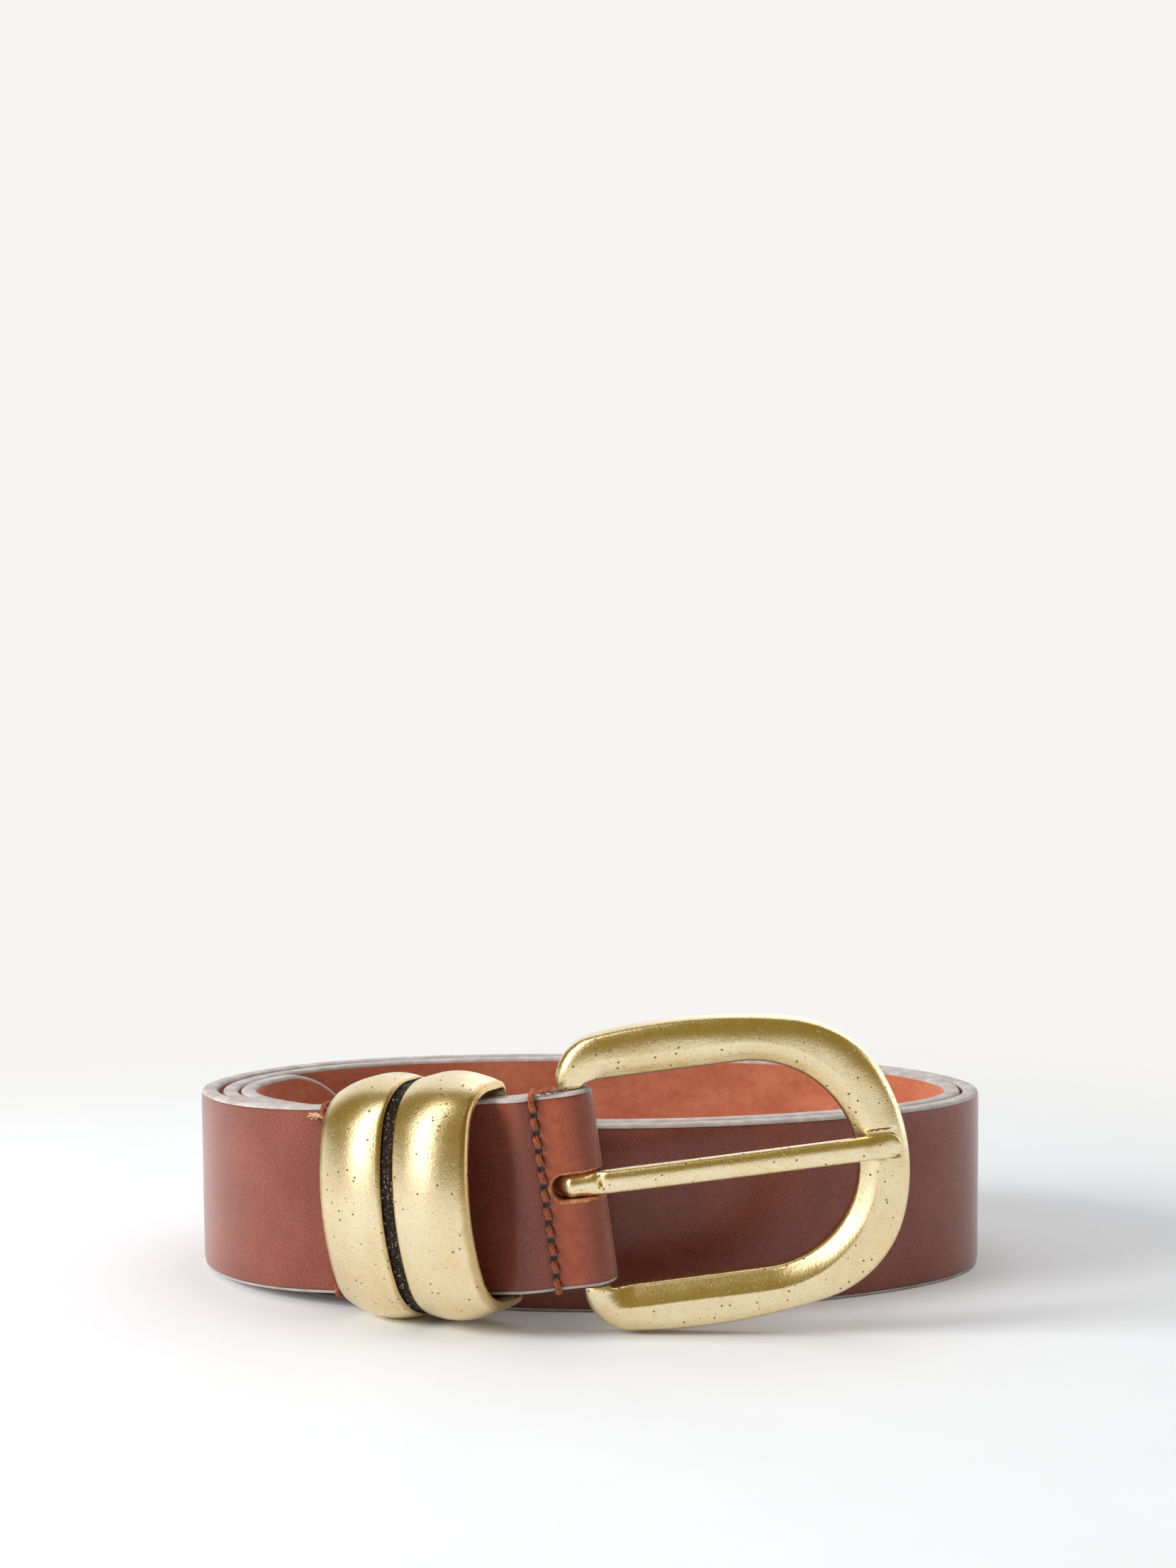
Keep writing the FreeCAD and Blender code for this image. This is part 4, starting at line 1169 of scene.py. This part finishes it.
def cut_leather():
    """Raw cut through the leather at the holes and the tongue's slot: pale orange fibres."""
    paint = material_paint("cut_leather")
    place = paint.place()
    fibre = paint.streaks(place, (1.0, 1.0, 0.4), 2400.0, 4.0, 0.7)
    patch = paint.noise(place, 700.0, 3.0)
    colour = paint.coats(
        tone(166, 96, 58), (paint.ramp(fibre, 0.35, 0.65), tone(214, 146, 98)),
        (paint.ramp(patch, 0.55, 0.7) * 0.4, tone(232, 196, 168)))
    return paint.surface(colour, 0.7 + fibre * 0.2, paint.bump(fibre, 0.1), Specular_IOR_Level=0.3)


def waxed_thread(name, dark, light):
    """Waxed thread: fine fibres from dark to light, darker in patches where wax has gathered."""
    paint = material_paint(name)
    place = paint.place()
    fibre = paint.noise(place, 5200.0, 3.0, 0.7)
    patch = paint.noise(place, 700.0, 3.0)
    colour = paint.coats(dark, (paint.ramp(fibre, 0.35, 0.68), light),
                         (paint.ramp(patch, 0.5, 0.7) * 0.4, dark))
    return paint.surface(colour, 0.55 + fibre * 0.2, paint.bump(fibre, 0.06), Specular_IOR_Level=0.35)


def brass(name, warmth=0.0, shaded_rims=False):
    """Cast brass, tumbled and worn: a thin uneven patina, cast pits with dark floors, hairline
    scratches two ways and a slow unevenness in its polish. warmth reddens it; shaded_rims paints
    shade onto the keeper's rims and the lips of its groove, darker gold there for their darker reflection."""
    paint = material_paint(name)
    place = paint.place()
    cloud = paint.noise(place, 90.0, 4.0, 0.55)
    grain = paint.noise(place, 2600.0, 3.0, 0.6)
    peel = paint.noise(place, 480.0, 3.0, 0.5)
    chance = paint.parts(paint.cells(place, 760.0, output="Color"))
    pits = paint.ramp(paint.cells(place, 760.0), 0.19, 0.10) * paint.ramp(chance, 0.56, 0.62)
    hair = paint.streaks(place, (1.0, 1.0, 0.06), 3000.0, 2.0)
    cross = paint.streaks(place, (0.06, 1.0, 1.0), 2600.0, 2.0)
    scratches = paint.maths("MAXIMUM", paint.ramp(hair, 0.66, 0.72), paint.ramp(cross, 0.68, 0.74))
    colour = paint.coats(
        tone(243, 227, 190), (paint.ramp(cloud, 0.35, 0.7), tone(238, 217, 172)),
        (paint.ramp(peel, 0.52, 0.75) * 0.4, tone(228, 198, 136)),
        (paint.ramp(grain, 0.56, 0.70) * 0.45, tone(178, 142, 78)), (pits * 0.85, tone(84, 58, 26)))
    if warmth:
        colour = paint.mix(warmth, colour, tone(196, 132, 66))
    # painted shade: the keeper's rims and the lips of its groove darkened towards dark gold, for their
    # darker reflection
    if shaded_rims:
        side = paint.maths("ABSOLUTE", paint.parts(paint.unwrapped()).beside(1)) + (peel - 0.5) * (0.7 * mm)
        rim = paint.ramp(side, (keeper_width / 2 - 1.5) * mm, (keeper_width / 2 - 0.5) * mm)
        lip = paint.ramp(side, (keeper_groove / 2 + 0.9) * mm, (keeper_groove / 2 + 0.1) * mm)
        colour = paint.mix(paint.maths("MAXIMUM", rim * 0.6, lip * 0.6), colour, tone(172, 132, 62))
    roughness = 0.19 + cloud * 0.08 + scratches * 0.08 + grain * 0.05
    height = peel * 0.7 + grain * 0.85 - pits * 1.8 - scratches * 0.12
    return paint.surface(colour, roughness, paint.bump(height, 0.04), Metallic=1.0)


def groove_brass():
    """The groove's floor, blackened and rough, with the metal showing through in specks."""
    paint = material_paint("blackened_groove")
    place = paint.place()
    rough = paint.noise(place, 1900.0, 4.0, 0.7)
    patch = paint.noise(place, 420.0, 3.0)
    colour = paint.coats(
        tone(44, 36, 32), (paint.ramp(rough, 0.52, 0.66), tone(118, 102, 84)),
        (paint.ramp(rough, 0.60, 0.68), tone(232, 216, 186)),
        (paint.ramp(patch, 0.58, 0.72) * 0.5, tone(84, 52, 36)))
    return paint.surface(colour, 0.38 + rough * 0.25, paint.bump(rough + patch, 0.18), Metallic=0.85)


# ---------------------------------------------------------------- studio

backdrop = tone(246, 245, 243)


def level(red, green, blue):
    """Light of so much red, green and blue, 1 for white."""
    return red, green, blue, 1.0


def light_paths(paint):
    """1 for what the camera sees, and 1 for what a reflection sees."""
    seen = paint.node("ShaderNodeLightPath", output="Is Camera Ray")
    return seen, seen.beside("Is Glossy Ray")


def make_floor():
    """A pale floor that keeps the belt's shadow. Away from the belt it fades, for the camera and for
    reflections, into a plain white."""
    paint = material_paint("pale_floor")
    place = paint.place()
    speck = paint.noise(place, 30.0, 2.0)
    colour = paint.mix(paint.ramp(speck, 0.3, 0.7), tone(246, 247, 247), tone(248, 249, 249))
    shader = paint.node("ShaderNodeBsdfPrincipled", None,
                        {"Base Color": colour, "Roughness": 0.8, "Specular IOR Level": 0.1})
    plain = paint.node("ShaderNodeEmission", None, {"Color": backdrop, "Strength": 1.0})
    camera, glossy = light_paths(paint)
    distance = paint.vectors("LENGTH", place, output="Value")
    far = paint.ramp(distance, 0.13, 0.32) * paint.maths("MAXIMUM", camera, glossy)
    both = paint.node("ShaderNodeMixShader", None, {0: far, 1: shader, 2: plain})
    paint.node("ShaderNodeOutputMaterial", None, {"Surface": both})
    points = np.array([[-1, -1, 0], [1, -1, 0], [1, 1, 0], [-1, 1, 0]]) * 4000.0
    floor = new_piece("studio_floor", points, [[0, 1, 2, 3]], [paint.owner])


def make_world():
    """Soft light from all round, stronger from the sides and strongest from the right. The camera sees
    the pale backdrop. Reflections see a dim, warm room in front and overhead, a tall window at the left,
    a wider and weaker one at the right, a bright backdrop behind and the floor's white below. Bearings
    are in radians from straight ahead, positive to the right."""
    world = bpy.data.worlds.new("soft_studio")
    bpy.context.scene.world = world
    paint = Paint(world)
    camera, glossy = light_paths(paint)
    right = paint.parts(paint.place("Generated"))
    back, up = right.beside(1), right.beside(2)
    bearing = paint.maths("ARCTAN2", right, 0.0 - back)
    behind = paint.maths("MAXIMUM", paint.ramp(bearing, 1.75, 2.05), paint.ramp(bearing, -2.15, -2.55))
    behind = behind * paint.ramp(up, 0.975, 0.93)
    left_window = paint.ramp(bearing, -1.27, -1.13) * paint.ramp(bearing, -0.70, -0.84)
    left_window = left_window * paint.ramp(up, 0.97, 0.88)
    right_window = paint.ramp(bearing, 1.05, 1.30) * paint.ramp(up, 0.62, 0.42)
    screen = paint.mix(paint.ramp(bearing, 0.5, 1.5), level(1.0, 1.0, 1.0), level(1.45, 1.46, 1.5))
    reflected = paint.coats(
        level(0.285, 0.217, 0.052), (left_window, level(3.1, 3.05, 2.9)),
        (right_window * 0.75, level(2.4, 2.42, 2.5)), (behind, screen),
        (paint.ramp(up, 0.12, -0.05), level(0.95, 0.95, 0.95)))
    sides = paint.ramp(paint.maths("ABSOLUTE", bearing), 0.35, 1.5)
    soft = paint.coats(level(0.12, 0.12, 0.122), (sides, level(0.46, 0.46, 0.47)),
                       (paint.ramp(bearing, 0.6, 1.6), level(0.74, 0.75, 0.77)),
                       (glossy, reflected), (camera, backdrop))
    light = paint.node("ShaderNodeBackground", None, {"Color": soft, "Strength": 1.0})
    paint.node("ShaderNodeOutputWorld", None, {"Surface": light})


def soft_light(name, place, size, power):
    """A square lamp at a place, in metres, turned to the middle of the belt; reflections don't see it."""
    lamp = bpy.data.lights.new(name, "AREA")
    lamp.size = size
    lamp.energy = power
    made = put(name, lamp, place)
    made.rotation_euler = (Vector((0.0, 0.0, 0.02)) - Vector(place)).to_track_quat("-Z", "Y").to_euler()
    made.visible_glossy = False


def make_camera(place, lens, tip):
    """A camera at a place, in metres, that looks along +Y, tipped down by some degrees."""
    camera = bpy.data.cameras.new("camera")
    camera.sensor_width = 36.0
    camera.lens = lens
    made = put("camera", camera, place)
    made.rotation_euler = (math.radians(90 - tip), 0.0, 0.0)
    bpy.context.scene.camera = made


make_camera(place=(-0.000314, -0.441465, 0.1134), lens=51.27, tip=2.13)
make_world()
make_floor()
soft_light("key_light", place=(-0.95, -0.34, 0.46), size=0.45, power=12.0)
soft_light("top_light", place=(0.05, -0.05, 1.0), size=0.8, power=2.3)

strap = make_strap([grain_leather(), flesh_leather(), edge_paint(), cut_leather()])
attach(strap, "strap_body")
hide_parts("strap")
thread = [waxed_thread("waxed_thread", tone(122, 62, 40), tone(196, 118, 80)),
          waxed_thread("frayed_thread", tone(196, 140, 108), tone(238, 204, 176))]
make_row("front_thread", "front_stitching", front_row, thread, 4.8)
make_row("rear_thread", "rear_stitching", rear_row, thread, -3.2)
make_frame(brass("frame_cast_brass"))
make_tongue(brass("tongue_cast_brass"))
make_keeper([brass("keeper_cast_brass", shaded_rims=True), groove_brass()])
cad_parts["heel_bar"].material_slots[0].material = brass("bar_drawn_brass", 0.6)

bpy.context.scene.view_settings.view_transform = "Standard"
